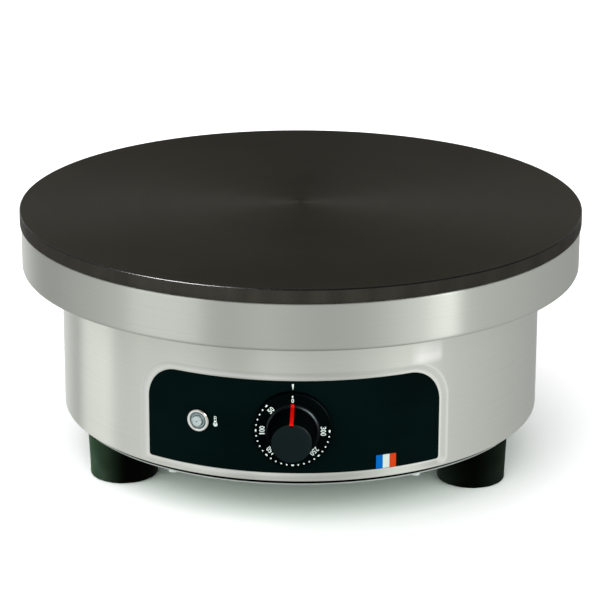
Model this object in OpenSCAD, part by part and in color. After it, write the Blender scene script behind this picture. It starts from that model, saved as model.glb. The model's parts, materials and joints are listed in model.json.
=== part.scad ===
// Round electric crepe maker: a machined cast-iron griddle on a two-step
// stainless drum, a recessed control panel with one thermostat knob and one
// lamp, and three rubber feet.
// Millimetres. Origin on the standing surface under the middle of the
// griddle; +Z up, the control panel faces -Y, the cable gland faces +Y.

/* [Overall] */
// Height from the standing surface to the cooking surface
total_h = 180; // [178:1:184]

/* [Griddle] */
// Diameter of the griddle plate
plate_d = 400; // [400:1:410]
// Thickness of the griddle plate
plate_t = 9.7; // [9.4:0.1:10.2]
// Radius on the upper edge of the plate
plate_edge_r = 0.8; // [0.4:0.1:1.5]

/* [Casing] */
// Outside diameter of the upper ring
ring_d = 398; // [396:1:399]
// Lower edge of the upper ring, measured down from the cooking surface
ring_drop = 43.3; // [42:0.1:45]
// Outside diameter of the lower drum
drum_d = 341.7; // [340:0.1:343]
// Lower edge of the drum, measured down from the cooking surface
drum_drop = 145.5; // [144:0.1:146.5]
// Thickness of the stainless sheet
sheet = 1; // [0.8:0.1:1.2]
// Diameter of the bottom plate
base_d = 330.4; // [328.4:0.2:333]
// Thickness of the bottom plate
base_t = 0.9; // [0.8:0.1:1.2]
// Height of the seal between the drum and the bottom plate
base_gap = 3.5; // [2.5:0.1:4]

/* [Panel] */
// Half width of the pressed recess, measured across the front
recess_half_w = 105; // [102:0.1:106]
// Depth of the recess in the drum wall
recess_depth = 1.65; // [1.4:0.05:2]
// Half width of the black overlay
overlay_half_w = 98.6; // [96:0.1:99]
// Thickness of the overlay
overlay_t = 0.45; // [0.3:0.05:0.6]
// Angle of the lamp round the drum from the front
lamp_angle = 22; // [21:0.1:25]

/* [Knob] */
// Height of the knob axis above the standing surface
knob_z = 73.2; // [72:0.1:75]
// Diameter of the dial skirt
dial_d = 52.6; // [50:0.2:54]
// Diameter of the grip at the dial
grip_base_d = 33; // [31:0.2:34]
// Diameter of the grip at its front face
grip_front_d = 27.8; // [26:0.2:29]
// Distance of the knob's front face from the middle of the drum
knob_front = 200; // [198:0.5:200]

/* [Feet] */
// Radius of the circle that the feet stand on
foot_pcr = 141.8; // [140:0.1:142]
// Diameter of a foot where it touches the surface
foot_d = 47.3; // [46:0.1:48]
// Side slope of a foot in degrees
foot_taper = 2.2; // [1:0.1:2.4]

/* [Hidden] */
eps = 0.01;
plate_z = total_h - plate_t;          // underside of the griddle
ring_z = total_h - ring_drop;         // lower edge of the upper ring
drum_z = total_h - drum_drop;         // lower edge of the drum
ring_r = ring_d / 2;
drum_r = drum_d / 2;
pad_r = drum_r - recess_depth;        // outer face of the recessed pad
face_r = pad_r + overlay_t;           // outer face of the overlay
shield_z = ring_z + sheet;            // underside of the heat shield
wool_z = shield_z + 1;                // underside of the insulation
el_r = 4;                             // radius of a heating element
el_z = plate_z - 0.3 - el_r;          // centre height of the elements
bar_t = 3;
bar_z = el_z - el_r - 0.1 - bar_t;    // underside of the clamp bars
rod_pcr = 162;
rod_a = [30, 150, 270];
foot_a = [90, 210, 330];
screw_a = [for (f = foot_a, s = [-1, 1]) f + 29.1 * s]; // two by each foot
screw_pcr = 161.2;
base_top = drum_z - base_gap;         // inner face of the bottom plate
base_low = base_top - base_t;         // outer face of the bottom plate
dial_y = pad_r + 6.7;                 // dial face, distance from the middle
knob_back = pad_r + overlay_t + 0.95; // rear rim of the knob
el_rows = [[138, 15], [92, 18], [45, 30]]; // ring radius, half gap angle
leg_z = 128;                          // lower end of the element legs
tab_z = 120;                          // underside of the link bars
gland_z = 60;
plate_grey = [0.20, 0.19, 0.17];
steel = [0.72, 0.72, 0.70];
zinc = [0.62, 0.63, 0.65];
rubber_black = [0.05, 0.05, 0.06];

// Points on an arc about (cx, cy) from angle a0 to a1
function arc(cx, cy, r, a0, a1, n = 8) =
    [for (i = [0:n]) [cx + r * cos(a0 + (a1 - a0) * i / n),
                      cy + r * sin(a0 + (a1 - a0) * i / n)]];

// Smooth curve through a list of points, m steps between two of them
function curve(p, m = 6) = let (n = len(p) - 1)
    [for (i = [0:n - 1], j = [0:m - 1])
        let (a = p[max(i - 1, 0)], b = p[i], c = p[i + 1],
             d = p[min(i + 2, n)], t = j / m)
        0.5 * (2 * b + (c - a) * t + (2 * a - 5 * b + 4 * c - d) * t * t
               + (3 * b - a - 3 * c + d) * t * t * t),
     p[n]];
function unit(v) = v / norm(v);

// Round tube of radius r along a path, as one closed solid with k sides
module tube(path, r, k = 8, side = [0.36, 0.80, 0.48]) {
    n = len(path);
    tan = [for (i = [0:n - 1])
        unit(path[min(i + 1, n - 1)] - path[max(i - 1, 0)])];
    pts = [for (i = [0:n - 1])
        let (u = unit(cross(tan[i], side)), w = cross(tan[i], u))
        for (j = [0:k - 1])
            path[i] + r * (cos(360 * j / k) * u + sin(360 * j / k) * w)];
    polyhedron(points = pts, faces = concat(
        [[for (j = [0:k - 1]) j]],
        [[for (j = [k - 1:-1:0]) (n - 1) * k + j]],
        [for (i = [0:n - 2], j = [0:k - 1], h = [0, 1]) let (q = (j + 1) % k)
            h == 0 ? [i * k + j, (i + 1) * k + j, (i + 1) * k + q]
                   : [i * k + j, (i + 1) * k + q, i * k + q]]));
}

// Copies of a child at the given angles on a circle
module around(r, angles) {
    for (a = angles) rotate([0, 0, a]) translate([r, 0, 0]) children();
}

// A frame whose +Z points out of the front, through the knob axis
module front_axis() {
    translate([0, 0, knob_z]) rotate([90, 0, 0]) children();
}

// A frame whose +Z points out of the drum through the lamp
module lamp_axis() {
    rotate([0, 0, 270 - lamp_angle]) translate([face_r, 0, knob_z])
        rotate([0, 90, 0]) children();
}

module hexagon(af, h) { cylinder(d = af / cos(30), h = h, $fn = 6); }

module nut(af, h, bore) {
    difference() {
        hexagon(af, h);
        translate([0, 0, -1]) cylinder(d = bore, h = h + 2, $fn = 32);
    }
}

// Pan-head screw with a cross recess, head under z = 0, shank above
module pan_screw(d, head_d, head_h, len) {
    difference() {
        union() {
            rotate_extrude($fn = 48) polygon(concat(
                [[0, 0]], [[head_d / 2, 0]],
                arc(head_d / 2 - head_h * 0.6, -head_h * 0.4, head_h * 0.6,
                    0, -90, 5),
                [[0, -head_h]]));
            translate([0, 0, -eps]) cylinder(d = d, h = len, $fn = 32);
        }
        for (a = [0, 90]) rotate([0, 0, a])
            translate([-head_d * 0.27, -0.35, -head_h - 1])
                cube([head_d * 0.54, 0.7, 1 + head_h * 0.55]);
    }
}

// Rectangle in the front view with its own upper and lower corner radii
module front_plate(half_w, z0, z1, r_top, r_low) {
    polygon(concat(
        arc(half_w - r_top, z1 - r_top, r_top, 0, 90, 12),
        arc(-half_w + r_top, z1 - r_top, r_top, 90, 180, 12),
        arc(-half_w + r_low, z0 + r_low, r_low, 180, 270, 8),
        arc(half_w - r_low, z0 + r_low, r_low, 270, 360, 8)));
}

module ring_wall(r0, r1, z0, z1) {
    rotate_extrude($fn = 180)
        translate([r0, z0]) square([r1 - r0, z1 - z0]);
}

// ---------------------------------------------------------------- griddle

module griddle_plate() color(plate_grey) {
    r = plate_d / 2;
    difference() {
        union() {
            rotate_extrude($fn = 240) polygon(concat(
                [[0, plate_z], [r - 0.4, plate_z], [r, plate_z + 0.4]],
                arc(r - plate_edge_r, total_h - plate_edge_r, plate_edge_r,
                    0, 90, 6),
                [[0, total_h]]));
            around(rod_pcr, rod_a) translate([0, 0, plate_z - 5])
                cylinder(d = 18, h = 5 + eps, $fn = 48);
            translate([0, 0, plate_z - 5])
                cylinder(d = 20, h = 5 + eps, $fn = 48);
        }
        around(rod_pcr, rod_a) translate([0, 0, plate_z - 6])
            cylinder(d = 8, h = 12.5, $fn = 32);
        translate([0, 0, plate_z - 6]) cylinder(d = 8, h = 12.5, $fn = 32);
    }
}

module centre_stud() color(zinc)
    translate([0, 0, bar_z - 10])
        cylinder(d = 8, h = plate_z + 6.3 - bar_z + 10, $fn = 32);

module tie_rods() color(zinc)
    around(rod_pcr, rod_a) translate([0, 0, ring_z - 12])
        cylinder(d = 8, h = plate_z + 6.3 - ring_z + 12, $fn = 32);

module tie_spacers() color(zinc)
    around(rod_pcr, rod_a) translate([0, 0, wool_z]) difference() {
        cylinder(d = 12, h = plate_z - 5 - wool_z, $fn = 40);
        translate([0, 0, -1]) cylinder(d = 8.6, h = 60, $fn = 40);
    }

module tie_washers() color(zinc)
    around(rod_pcr, rod_a) translate([0, 0, ring_z - sheet - 1.6])
        difference() {
            cylinder(d = 15, h = 1.6, $fn = 40);
            translate([0, 0, -1]) cylinder(d = 8.4, h = 4, $fn = 40);
        }

module tie_nuts() color(zinc)
    around(rod_pcr, rod_a) translate([0, 0, ring_z - sheet - 8.1])
        nut(13, 6.5, 8.1);

// Sheathed heating element: an open ring with two legs that turn down
module element(r, half_gap) color([0.33, 0.34, 0.30]) {
    rotate([0, 0, 90 + half_gap]) translate([0, 0, el_z])
        rotate_extrude(angle = 360 - 2 * half_gap, $fn = 120)
            translate([r, 0]) circle(el_r, $fn = 24);
    for (s = [-1, 1]) rotate([0, 0, 90 + s * half_gap])
        translate([r, 0, leg_z]) {
            cylinder(r = 4.6, h = el_z + 3.9 - leg_z, $fn = 32);
            translate([0, 0, tab_z - 6 - leg_z])
                cylinder(r = 2, h = leg_z - tab_z + 6 + eps, $fn = 24);
        }
}
module element_outer() { element(el_rows[0][0], el_rows[0][1]); }
module element_middle() { element(el_rows[1][0], el_rows[1][1]); }
module element_inner() { element(el_rows[2][0], el_rows[2][1]); }

module element_clamp() color(zinc) difference() {
    union() {
        translate([0, 0, bar_z]) cylinder(d = 44, h = bar_t, $fn = 48);
        for (a = rod_a) rotate([0, 0, a]) translate([0, -10, bar_z])
            cube([148, 20, bar_t]);
    }
    translate([0, 0, bar_z - 1]) cylinder(d = 8.6, h = 6, $fn = 32);
}

module clamp_nut() color(zinc)
    translate([0, 0, bar_z - 6.5]) nut(13, 6.5, 8.1);

module leg_holes(d, z, h) {
    for (e = el_rows, s = [-1, 1]) rotate([0, 0, 90 + s * e[1]])
        translate([e[0], 0, z]) cylinder(d = d, h = h, $fn = 32);
}
bracket_holes = [[57, 110], [-57, 110]];

module insulation_disc() color([0.86, 0.84, 0.76]) difference() {
    translate([0, 0, wool_z]) cylinder(r = 187, h = bar_z - wool_z, $fn = 120);
    around(rod_pcr, rod_a) translate([0, 0, wool_z - 1])
        cylinder(d = 13, h = 60, $fn = 32);
    translate([0, 0, wool_z - 1]) cylinder(d = 26, h = 60, $fn = 32);
    leg_holes(12, wool_z - 1, 60);
    translate([17, -80, wool_z - 1]) cylinder(d = 6, h = 60, $fn = 24);
    for (p = bracket_holes) translate([p[0], p[1], wool_z - 1])
        cylinder(d = 8, h = 8, $fn = 24);
}

module heat_shield() color([0.66, 0.67, 0.68]) difference() {
    union() {
        translate([0, 0, shield_z]) cylinder(r = 190, h = 1, $fn = 180);
        ring_wall(189, 190, shield_z, plate_z - 8);
    }
    around(rod_pcr, rod_a) translate([0, 0, shield_z - 1])
        cylinder(d = 8.6, h = 4, $fn = 32);
    leg_holes(12, shield_z - 1, 4);
    translate([17, -80, shield_z - 1]) cylinder(d = 6, h = 4, $fn = 24);
    for (p = bracket_holes) translate([p[0], p[1], shield_z - 1])
        cylinder(d = 3.6, h = 4, $fn = 24);
}

// ----------------------------------------------------------------- casing

module upper_ring() color(steel) {
    z1 = plate_z - 0.4;
    difference() {
        rotate_extrude($fn = 240) polygon(concat(
            [[152, ring_z]],
            arc(ring_r - 3, ring_z + 3, 3, -90, 0, 6),
            arc(ring_r - 1.4, z1 - 1.4, 1.4, 0, 90, 4),
            [[ring_r - 10, z1], [ring_r - 10, z1 - sheet],
             [ring_r - 1.4, z1 - sheet], [ring_r - sheet, z1 - 1.4]],
            arc(ring_r - 3, ring_z + 3, 3 - sheet, 0, -90, 6),
            [[152, ring_z + sheet]]));
        around(rod_pcr, rod_a) translate([0, 0, ring_z - 1])
            cylinder(d = 8.6, h = 4, $fn = 32);
    }
}

recess_z0 = drum_z + 2.6;
recess_z1 = drum_z + 76.4;

module body_shell() color(steel) {
    z1 = ring_z;
    difference() {
        union() {
            rotate_extrude($fn = 240) polygon(concat(
                [[150, drum_z]],
                arc(drum_r - 1.4, drum_z + 1.4, 1.4, -90, 0, 6),
                arc(drum_r - 1.6, z1 - 1.6, 1.6, 0, 90, 4),
                [[150, z1], [150, z1 - sheet],
                 [drum_r - 1.6, z1 - sheet], [drum_r - sheet, z1 - 1.6]],
                arc(drum_r - 1.4, drum_z + 1.4, 1.4 - sheet, 0, -90, 6),
                [[150, drum_z + sheet]]));
            intersection() {
                ring_wall(pad_r - sheet, drum_r, drum_z + 1, z1 - 2);
                rotate([90, 0, 0]) linear_extrude(200)
                    front_plate(recess_half_w + 1.5, recess_z0 - 1.2,
                        recess_z1 + 1.2, 22, 7);
            }
        }
        intersection() {
            ring_wall(pad_r, drum_r + 3, drum_z - 1, z1);
            rotate([90, 0, 0]) linear_extrude(200)
                front_plate(recess_half_w, recess_z0, recess_z1, 21, 6);
        }
        around(rod_pcr, rod_a) translate([0, 0, z1 - 3])
            cylinder(d = 8.6, h = 6, $fn = 32);
        around(screw_pcr, screw_a) translate([0, 0, drum_z - 1])
            cylinder(d = 4, h = 4, $fn = 24);
        front_axis() {
            cylinder(d = 10.4, h = 200, $fn = 40);
            for (s = [-1, 1]) translate([14 * s, 0, 0])
                cylinder(d = 4.4, h = 200, $fn = 24);
        }
        lamp_axis() translate([0, 0, -12]) cylinder(d = 10.6, h = 24, $fn = 40);
        translate([0, 0, gland_z]) rotate([-90, 0, 0])
            cylinder(d = 20.4, h = 200, $fn = 48);
    }
}

module panel_overlay() color([0.02, 0.05, 0.06]) difference() {
    intersection() {
        ring_wall(pad_r, face_r, drum_z, ring_z);
        rotate([90, 0, 0]) linear_extrude(200)
            front_plate(overlay_half_w, drum_z + 5.7, drum_z + 71.5, 18, 1.6);
    }
    front_axis() {
        cylinder(d = 12, h = 200, $fn = 40);
        for (s = [-1, 1]) translate([14 * s, 0, 0])
            cylinder(d = 8.4, h = 200, $fn = 24);
    }
    lamp_axis() translate([0, 0, -12]) cylinder(d = 10.6, h = 24, $fn = 40);
}

// ------------------------------------------------------------- thermostat

module thermostat_bracket() color(zinc) difference() {
    intersection() {
        translate([-40, -pad_r + 4.8, knob_z - 24]) cube([80, 1.5, 48]);
        cylinder(r = pad_r - sheet - 0.05, h = 200, $fn = 240);
    }
    front_axis() {
        cylinder(d = 10.4, h = 200, $fn = 40);
        for (s = [-1, 1]) translate([14 * s, 0, 0])
            cylinder(d = 4.4, h = 200, $fn = 24);
    }
}

thermo_face = pad_r - 6.3;            // front of the thermostat's case

module thermostat_body() color([0.80, 0.78, 0.70]) difference() {
    union() {
        translate([-18, -thermo_face, knob_z - 20]) cube([36, 30, 40]);
        front_axis() translate([0, 0, thermo_face - 1])
            cylinder(d = 10, h = face_r + 1.6 - thermo_face, $fn = 40);
        for (s = [-1, 1]) translate([7 * s - 3.2, -thermo_face + 29, knob_z - 12])
            cube([6.4, 9, 0.8]);
        translate([8, -thermo_face + 14, knob_z + 19])
            cylinder(d = 6, h = 4, $fn = 24);
    }
    front_axis() translate([0, 0, thermo_face - 20])
        cylinder(r = 3.07, h = 40, $fn = 40);
    front_axis() for (s = [-1, 1]) translate([14 * s, 0, thermo_face - 6])
        cylinder(d = 4.02, h = 10, $fn = 24);
}

module thermostat_screws() color(zinc) front_axis()
    for (s = [-1, 1]) translate([14 * s, 0, sqrt(pad_r * pad_r - 18 * 18) + 0.65])
        rotate([180, 0, 0]) pan_screw(4, 7.6, 2, 12);

module sensing_bulb() color([0.78, 0.60, 0.40])
    rotate([0, 0, 315]) translate([70, 0, plate_z - 3.6]) rotate([90, 0, 0])
        translate([0, 0, -40]) cylinder(d = 6, h = 80, $fn = 32);

module bulb_clip() color(zinc) difference() {
    rotate([0, 0, 315]) translate([70, 0, plate_z]) difference() {
        union() {
            translate([0, 5, -3.6]) rotate([90, 0, 0])
                cylinder(d = 8.4, h = 10, $fn = 32);
            translate([-10.5, -5, -7.8]) cube([10, 10, 1]);
            translate([-4.2, -5, -7.8]) cube([8.4, 10, 4]);
            translate([-10.5, -5, -7.8]) cube([1, 10, 7.8]);
        }
        translate([0, 50, -3.6]) rotate([90, 0, 0])
            cylinder(d = 6.4, h = 100, $fn = 32);
        translate([-3.2, -50, -3.6]) cube([6.4, 100, 10]);
        translate([-20, -50, 0]) cube([40, 100, 10]);
        translate([-7.2, 0, -12]) cylinder(d = 3.4, h = 20, $fn = 24);
    }
}

module bulb_clip_screw() color(zinc)
    rotate([0, 0, 315]) translate([70 - 7.2, 0, plate_z - 7.8])
        pan_screw(3, 5, 1.6, 7.6);

capillary_route = [[19.4, -79.6, 166.7], [17.6, -80.6, 165.4],
    [17, -80.2, 161], [17, -80, 150], [17, -80, 138], [18, -80, 126],
    [28, -84, 116], [38, -98, 112], [32, -114, 110], [18, -112, 108],
    [12, -104, 105], [10, -116, 101], [8, -136, 101], [8, -148.2, 99.6],
    [8, -148.8, 97.4]];
module capillary_tube() color([0.78, 0.60, 0.40])
    tube(curve(capillary_route, 4), 1, 8);

module limit_cutout() color([0.75, 0.70, 0.62]) translate([-70, 10, 0]) {
    translate([-11, -6, shield_z - 1]) cube([22, 12, 1]);
    translate([0, 0, shield_z - 10]) cylinder(d = 15.6, h = 9 + eps, $fn = 40);
    for (s = [-1, 1]) translate([4 * s - 0.4, -3.2, shield_z - 18])
        cube([0.8, 6.4, 8 + eps]);
}

// ------------------------------------------------------------------- lamp

module lamp_body() color([0.88, 0.88, 0.85]) lamp_axis() {
    translate([0, 0, -24]) cylinder(d = 10, h = 24, $fn = 40);
    for (s = [-1, 1]) translate([3 * s - 0.4, -1.4, -30])
        cube([0.8, 2.8, 6 + eps]);
}

module lamp_nut() color(zinc) lamp_axis()
    translate([0, 0, -5.2]) nut(14, 3, 10.1);

module lamp_bezel() color([0.85, 0.86, 0.88]) lamp_axis()
    rotate_extrude($fn = 64) polygon(concat(
        [[5.1, 0], [8, 0]], arc(6.6, 1.5, 1.4, 0, 90, 6),
        [[5.7, 2.9], [5.1, 2.3]]));

module lamp_lens() color([0.75, 0.77, 0.76]) lamp_axis()
    rotate_extrude($fn = 64) polygon(concat(
        [[0, 0], [5, 0]], arc(4.4, 2.2, 0.6, 0, 90, 4),
        [[3.6, 2.8]], arc(2.8, 3.4, 0.8, 0, 90, 4), [[0, 4.2]]));

// ----------------------------------------------------------------- wiring

module wiring_bracket() color(zinc) difference() {
    union() {
        translate([-50, 95, 90]) cube([100, 30, 1.5]);
        for (s = [-1, 1]) {
            translate([s > 0 ? 48.5 : -50, 95, 90])
                cube([1.5, 30, shield_z - 90]);
            translate([s > 0 ? 48.5 : -66, 95, shield_z - 1.5])
                cube([17.5, 30, 1.5]);
        }
    }
    for (p = bracket_holes) translate([p[0], p[1], 120])
        cylinder(d = 4, h = 40, $fn = 24);
    translate([38, 110, 80]) cylinder(d = 5.2, h = 20, $fn = 24);
    for (x = [-14, 4]) translate([x, 110, 80])
        cylinder(d = 3.4, h = 20, $fn = 24);
}

module bracket_screws() color(zinc)
    for (p = bracket_holes) translate([p[0], p[1], shield_z - 1.5])
        pan_screw(3.5, 7, 2.2, 7);

// Three-pole ceramic terminal block under the bracket
module terminal_block() color([0.93, 0.91, 0.86]) difference() {
    union() {
        translate([-32, 99, 78]) cube([54, 22, 12]);
        for (x = [-23, -5, 13]) translate([x - 7, 99, 73])
            cube([14, 22, 6]);
    }
    for (x = [-23, -5, 13]) {
        translate([x, 90, 82]) rotate([-90, 0, 0])
            cylinder(d = 5, h = 40, $fn = 24);
        for (y = [104, 116]) translate([x, y, 70])
            cylinder(d = 4.4, h = 12, $fn = 24);
    }
}

module terminal_screws() color([0.80, 0.65, 0.30])
    for (x = [-23, -5, 13], y = [104, 116]) translate([x, y, 74])
        difference() {
            cylinder(d = 4, h = 7, $fn = 24);
            translate([-3, -0.4, -1]) cube([6, 0.8, 2]);
        }

module earth_stud() color([0.80, 0.65, 0.30]) translate([38, 110, 0]) {
    translate([0, 0, 76]) cylinder(d = 5, h = 20, $fn = 32);
    translate([0, 0, 86]) hexagon(8, 4);
    translate([0, 0, 91.5]) hexagon(8, 3.5);
    translate([0, 0, 80]) hexagon(8, 4);
}

module link_bars() color([0.80, 0.65, 0.30]) for (s = [-1, 1]) {
    p = [for (e = el_rows) [s * e[0] * sin(e[1]), e[0] * cos(e[1])]];
    translate([0, 0, tab_z]) difference() {
        union() {
            for (q = p) translate([q[0], q[1], 0])
                cylinder(d = 9, h = 1.5, $fn = 32);
            for (i = [0, 1]) let (v = p[i + 1] - p[i])
                translate([p[i][0], p[i][1], 0])
                    rotate([0, 0, atan2(v[1], v[0])]) translate([0, -4, 0])
                        cube([norm(v), 8, 1.5]);
        }
        for (q = p) translate([q[0], q[1], -1])
            cylinder(d = 4.4, h = 4, $fn = 24);
    }
}

module link_nuts() color(zinc)
    for (e = el_rows, s = [-1, 1]) rotate([0, 0, 90 + s * e[1]])
        translate([e[0], 0, tab_z - 3.2]) nut(7, 3.2, 4.1);

// Insulated leads; every route runs from the rear of the drum to the front
lead_live = [[-23, 98.6, 82], [-23, 92, 82], [-26, 80, 76], [-32, 40, 60],
    [-32, -20, 52], [-24, -80, 50], [-8, -108, 52], [-7, -119, 60],
    [-7, -124.7, 61.6]];
lead_load = [[25.6, 63, 119.4], [26, 62, 112], [30, 50, 98], [38, 10, 72],
    [32, -50, 58], [18, -94, 53], [8, -110, 53], [7, -119, 60],
    [7, -124.7, 61.6]];
lead_neutral = [[-5, 98.6, 82], [-5, 92, 83], [-8, 84, 90], [-18, 72, 104],
    [-25, 64, 114], [-25.6, 63, 119.4]];
module thermostat_leads() color([0.45, 0.30, 0.20]) {
    tube(curve(lead_live, 4), 1.6, 8);
    tube(curve(lead_load, 4), 1.6, 8);
}
module element_leads() color([0.90, 0.90, 0.86])
    tube(curve(lead_neutral, 4), 1.6, 8);

lamp_a = [[-58.1, -131.2, 73], [-55.3, -122.8, 70], [-52, -84, 62],
    [-46, -20, 60], [-44, 40, 68], [-40, 76, 78], [-18, 88, 84],
    [-7.6, 93, 82.6], [-7.4, 98.6, 82.4]];
lamp_b = [[-52.6, -128.8, 73], [-50.4, -116.7, 66], [-46, -70, 48],
    [-20, -10, 44], [4, 50, 54], [12, 84, 74], [13, 92, 81], [13, 98.6, 82]];
module lamp_leads() color([0.30, 0.32, 0.38]) {
    tube(curve(lamp_a, 4), 0.8, 8);
    tube(curve(lamp_b, 4), 0.8, 8);
}

earth_route = [[38, 105.6, 79.2], [38, 96, 78], [46, 84, 76], [62, 76, 80],
    [78, 78, 96], [84, 84, 120], [84, 84, 134], [84, 84, 137.4]];
module earth_lead() color([0.45, 0.62, 0.20])
    tube(curve(earth_route, 4), 1.6, 8, [0.9, -0.3, 0.1]);

// ------------------------------------------------------------------ gland

module gland_axis() {
    translate([0, 0, gland_z]) rotate([-90, 0, 0]) children();
}

module gland_body() color([0.10, 0.10, 0.11]) gland_axis() difference() {
    union() {
        translate([0, 0, 158]) cylinder(d = 20, h = 15, $fn = 48);
        translate([0, 0, 172.4]) hexagon(24, 5);
        translate([0, 0, 177.4 - eps]) cylinder(d = 17.6, h = 8, $fn = 48);
    }
    translate([0, 0, 150]) cylinder(d = 12, h = 60, $fn = 48);
}

module gland_dome_nut() color([0.10, 0.10, 0.11]) gland_axis() difference() {
    union() {
        translate([0, 0, 177.6]) hexagon(24, 10);
        translate([0, 0, 187.6 - eps]) cylinder(d1 = 23, d2 = 14, h = 9.4,
            $fn = 48);
    }
    translate([0, 0, 177]) cylinder(d = 17.8, h = 9, $fn = 48);
    translate([0, 0, 170]) cylinder(d = 9, h = 40, $fn = 48);
}

module gland_seal() color(rubber_black) difference() {
    gland_axis() difference() {
        translate([0, 0, 165]) cylinder(d = 24, h = 7.4, $fn = 48);
        translate([0, 0, 160]) cylinder(d = 20.2, h = 20, $fn = 48);
    }
    cylinder(r = drum_r, h = 200, $fn = 240);
}

module gland_locknut() color([0.10, 0.10, 0.11]) gland_axis()
    translate([0, 0, drum_r - sheet - 0.45 - 5]) nut(24, 5, 20.1);

// ------------------------------------------------------------ bottom, feet

// Rubber ring between the flange of the drum and the bottom plate
module base_seal() color(rubber_black) difference() {
    ring_wall(152, base_d / 2 - 0.4, base_top, drum_z);
    around(screw_pcr, screw_a) translate([0, 0, base_top - 1])
        cylinder(d = 4.4, h = base_gap + 2, $fn = 24);
}

module bottom_plate() color(steel) {
    r = base_d / 2;
    difference() {
        rotate_extrude($fn = 180) polygon([[0, base_low],
            [r - 0.25, base_low], [r, base_low + 0.25], [r, base_top],
            [0, base_top]]);
        around(screw_pcr, screw_a) translate([0, 0, base_low - 2])
            cylinder(d = 4.4, h = 4, $fn = 24);
        around(foot_pcr, foot_a) translate([0, 0, base_low - 2])
            cylinder(d = 6.6, h = 4, $fn = 24);
        for (a = [0:30:330]) rotate([0, 0, a]) {
            translate([62, -2, base_low - 2]) cube([26, 4, 4]);
            for (x = [62, 88]) translate([x, 0, base_low - 2])
                cylinder(d = 4, h = 4, $fn = 24);
        }
    }
}

module bottom_plate_screws() color(zinc)
    around(screw_pcr, screw_a) translate([0, 0, base_low])
        pan_screw(3.9, 6.5, 2.5, 8);

module rubber_feet() color(rubber_black)
    around(foot_pcr, foot_a) {
        r0 = foot_d / 2;
        r1 = r0 + base_low * tan(foot_taper);
        difference() {
            rotate_extrude($fn = 96) polygon(concat(
                [[0, 0]], arc(r0 - 1.6, 1.8, 1.8, -90, -4, 6),
                [[r1, base_low], [0, base_low]]));
            translate([0, 0, -1]) cylinder(d = 22, h = 19, $fn = 48);
            translate([0, 0, 10]) cylinder(d = 6.6, h = 40, $fn = 32);
        }
    }

module foot_washers() color(zinc)
    around(foot_pcr, foot_a) translate([0, 0, 16.4]) difference() {
        cylinder(d = 20, h = 1.6, $fn = 48);
        translate([0, 0, -1]) cylinder(d = 6.6, h = 4, $fn = 32);
    }

module foot_screws() color(zinc)
    around(foot_pcr, foot_a) translate([0, 0, 16.4]) pan_screw(6, 12, 4, 24);

module foot_nuts() color(zinc)
    around(foot_pcr, foot_a) translate([0, 0, base_top]) nut(10, 5, 6.1);

// ------------------------------------------------------------------- knob

knob_l = knob_front - knob_back;      // whole length of the knob
dial_h = dial_y - knob_back;          // dial face above the rear rim
grip_r0 = grip_base_d / 2;
grip_r1 = grip_front_d / 2;
grip_h0 = dial_h + 2;

module knob_frame() { front_axis() translate([0, 0, knob_back]) children(); }

module control_knob() color([0.06, 0.07, 0.08]) knob_frame() difference() {
    rotate_extrude($fn = 144) polygon(concat(
        [[dial_d / 2, 0], [dial_d / 2, dial_h - 0.6],
         [dial_d / 2 - 0.5, dial_h]],
        arc(grip_r0 + 2, grip_h0, 2, 270, 180, 6),
        arc(grip_r1 - 0.9, knob_l - 0.9, 0.9, 8, 90, 5),
        [[0, knob_l], [0, knob_l - 3], [grip_r1 - 3, knob_l - 3],
         [grip_r0 - 2.4, dial_h - 1.6], [dial_d / 2 - 1.6, dial_h - 2],
         [dial_d / 2 - 1.6, 0]]));
    translate([-1.4, grip_r1 - 2.3, dial_h - 0.4]) cube([2.8, 12, 60]);
}

// The hub is one with the knob: a D-shaped socket for the spindle
module knob_hub() color([0.06, 0.07, 0.08]) knob_frame() difference() {
    translate([0, 0, 1.5]) cylinder(d = 12, h = knob_l - 4, $fn = 48);
    translate([0, 0, 1]) cylinder(d = 7.4, h = 18, $fn = 40);
}

module knob_pointer() color([0.80, 0.06, 0.05]) knob_frame()
    intersection() {
        translate([-1.35, 0, 0]) rotate([90, 0, 90]) linear_extrude(2.7)
            polygon([[grip_r1 - 2.25, dial_h - 0.35],
                [grip_r0 + 2.6, dial_h - 0.35], [grip_r0 + 2.6, dial_h + 0.1],
                [grip_r0 + 0.9, dial_h + 0.6], [grip_r0 + 0.15, dial_h + 2],
                [grip_r1 + 0.15, knob_l - 1], [grip_r1 - 0.4, knob_l],
                [grip_r1 - 2.25, knob_l]]);
        union() {
            translate([0, grip_r1 - 0.9, 0]) cylinder(r = 1.35, h = knob_l,
                $fn = 32);
            translate([-1.35, grip_r1 - 0.9, 0]) cube([2.7, 20, knob_l]);
        }
    }

module knob_spring_clip() color(zinc) knob_frame()
    translate([0, 0, 6]) difference() {
        cylinder(r = 3.6, h = 10, $fn = 40);
        translate([0, 0, -1]) cylinder(r = 3.1, h = 12, $fn = 40);
        translate([-4, 1.4, -1]) cube([8, 4, 12]);
    }

module thermostat_spindle() color([0.75, 0.75, 0.76]) front_axis()
    difference() {
        translate([0, 0, thermo_face - 19]) cylinder(r = 3, h = 36.5, $fn = 40);
        translate([-4, 1.5, face_r + 4]) cube([8, 4, 40]);
    }

module whole_knob() { control_knob(); knob_hub(); }

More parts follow.
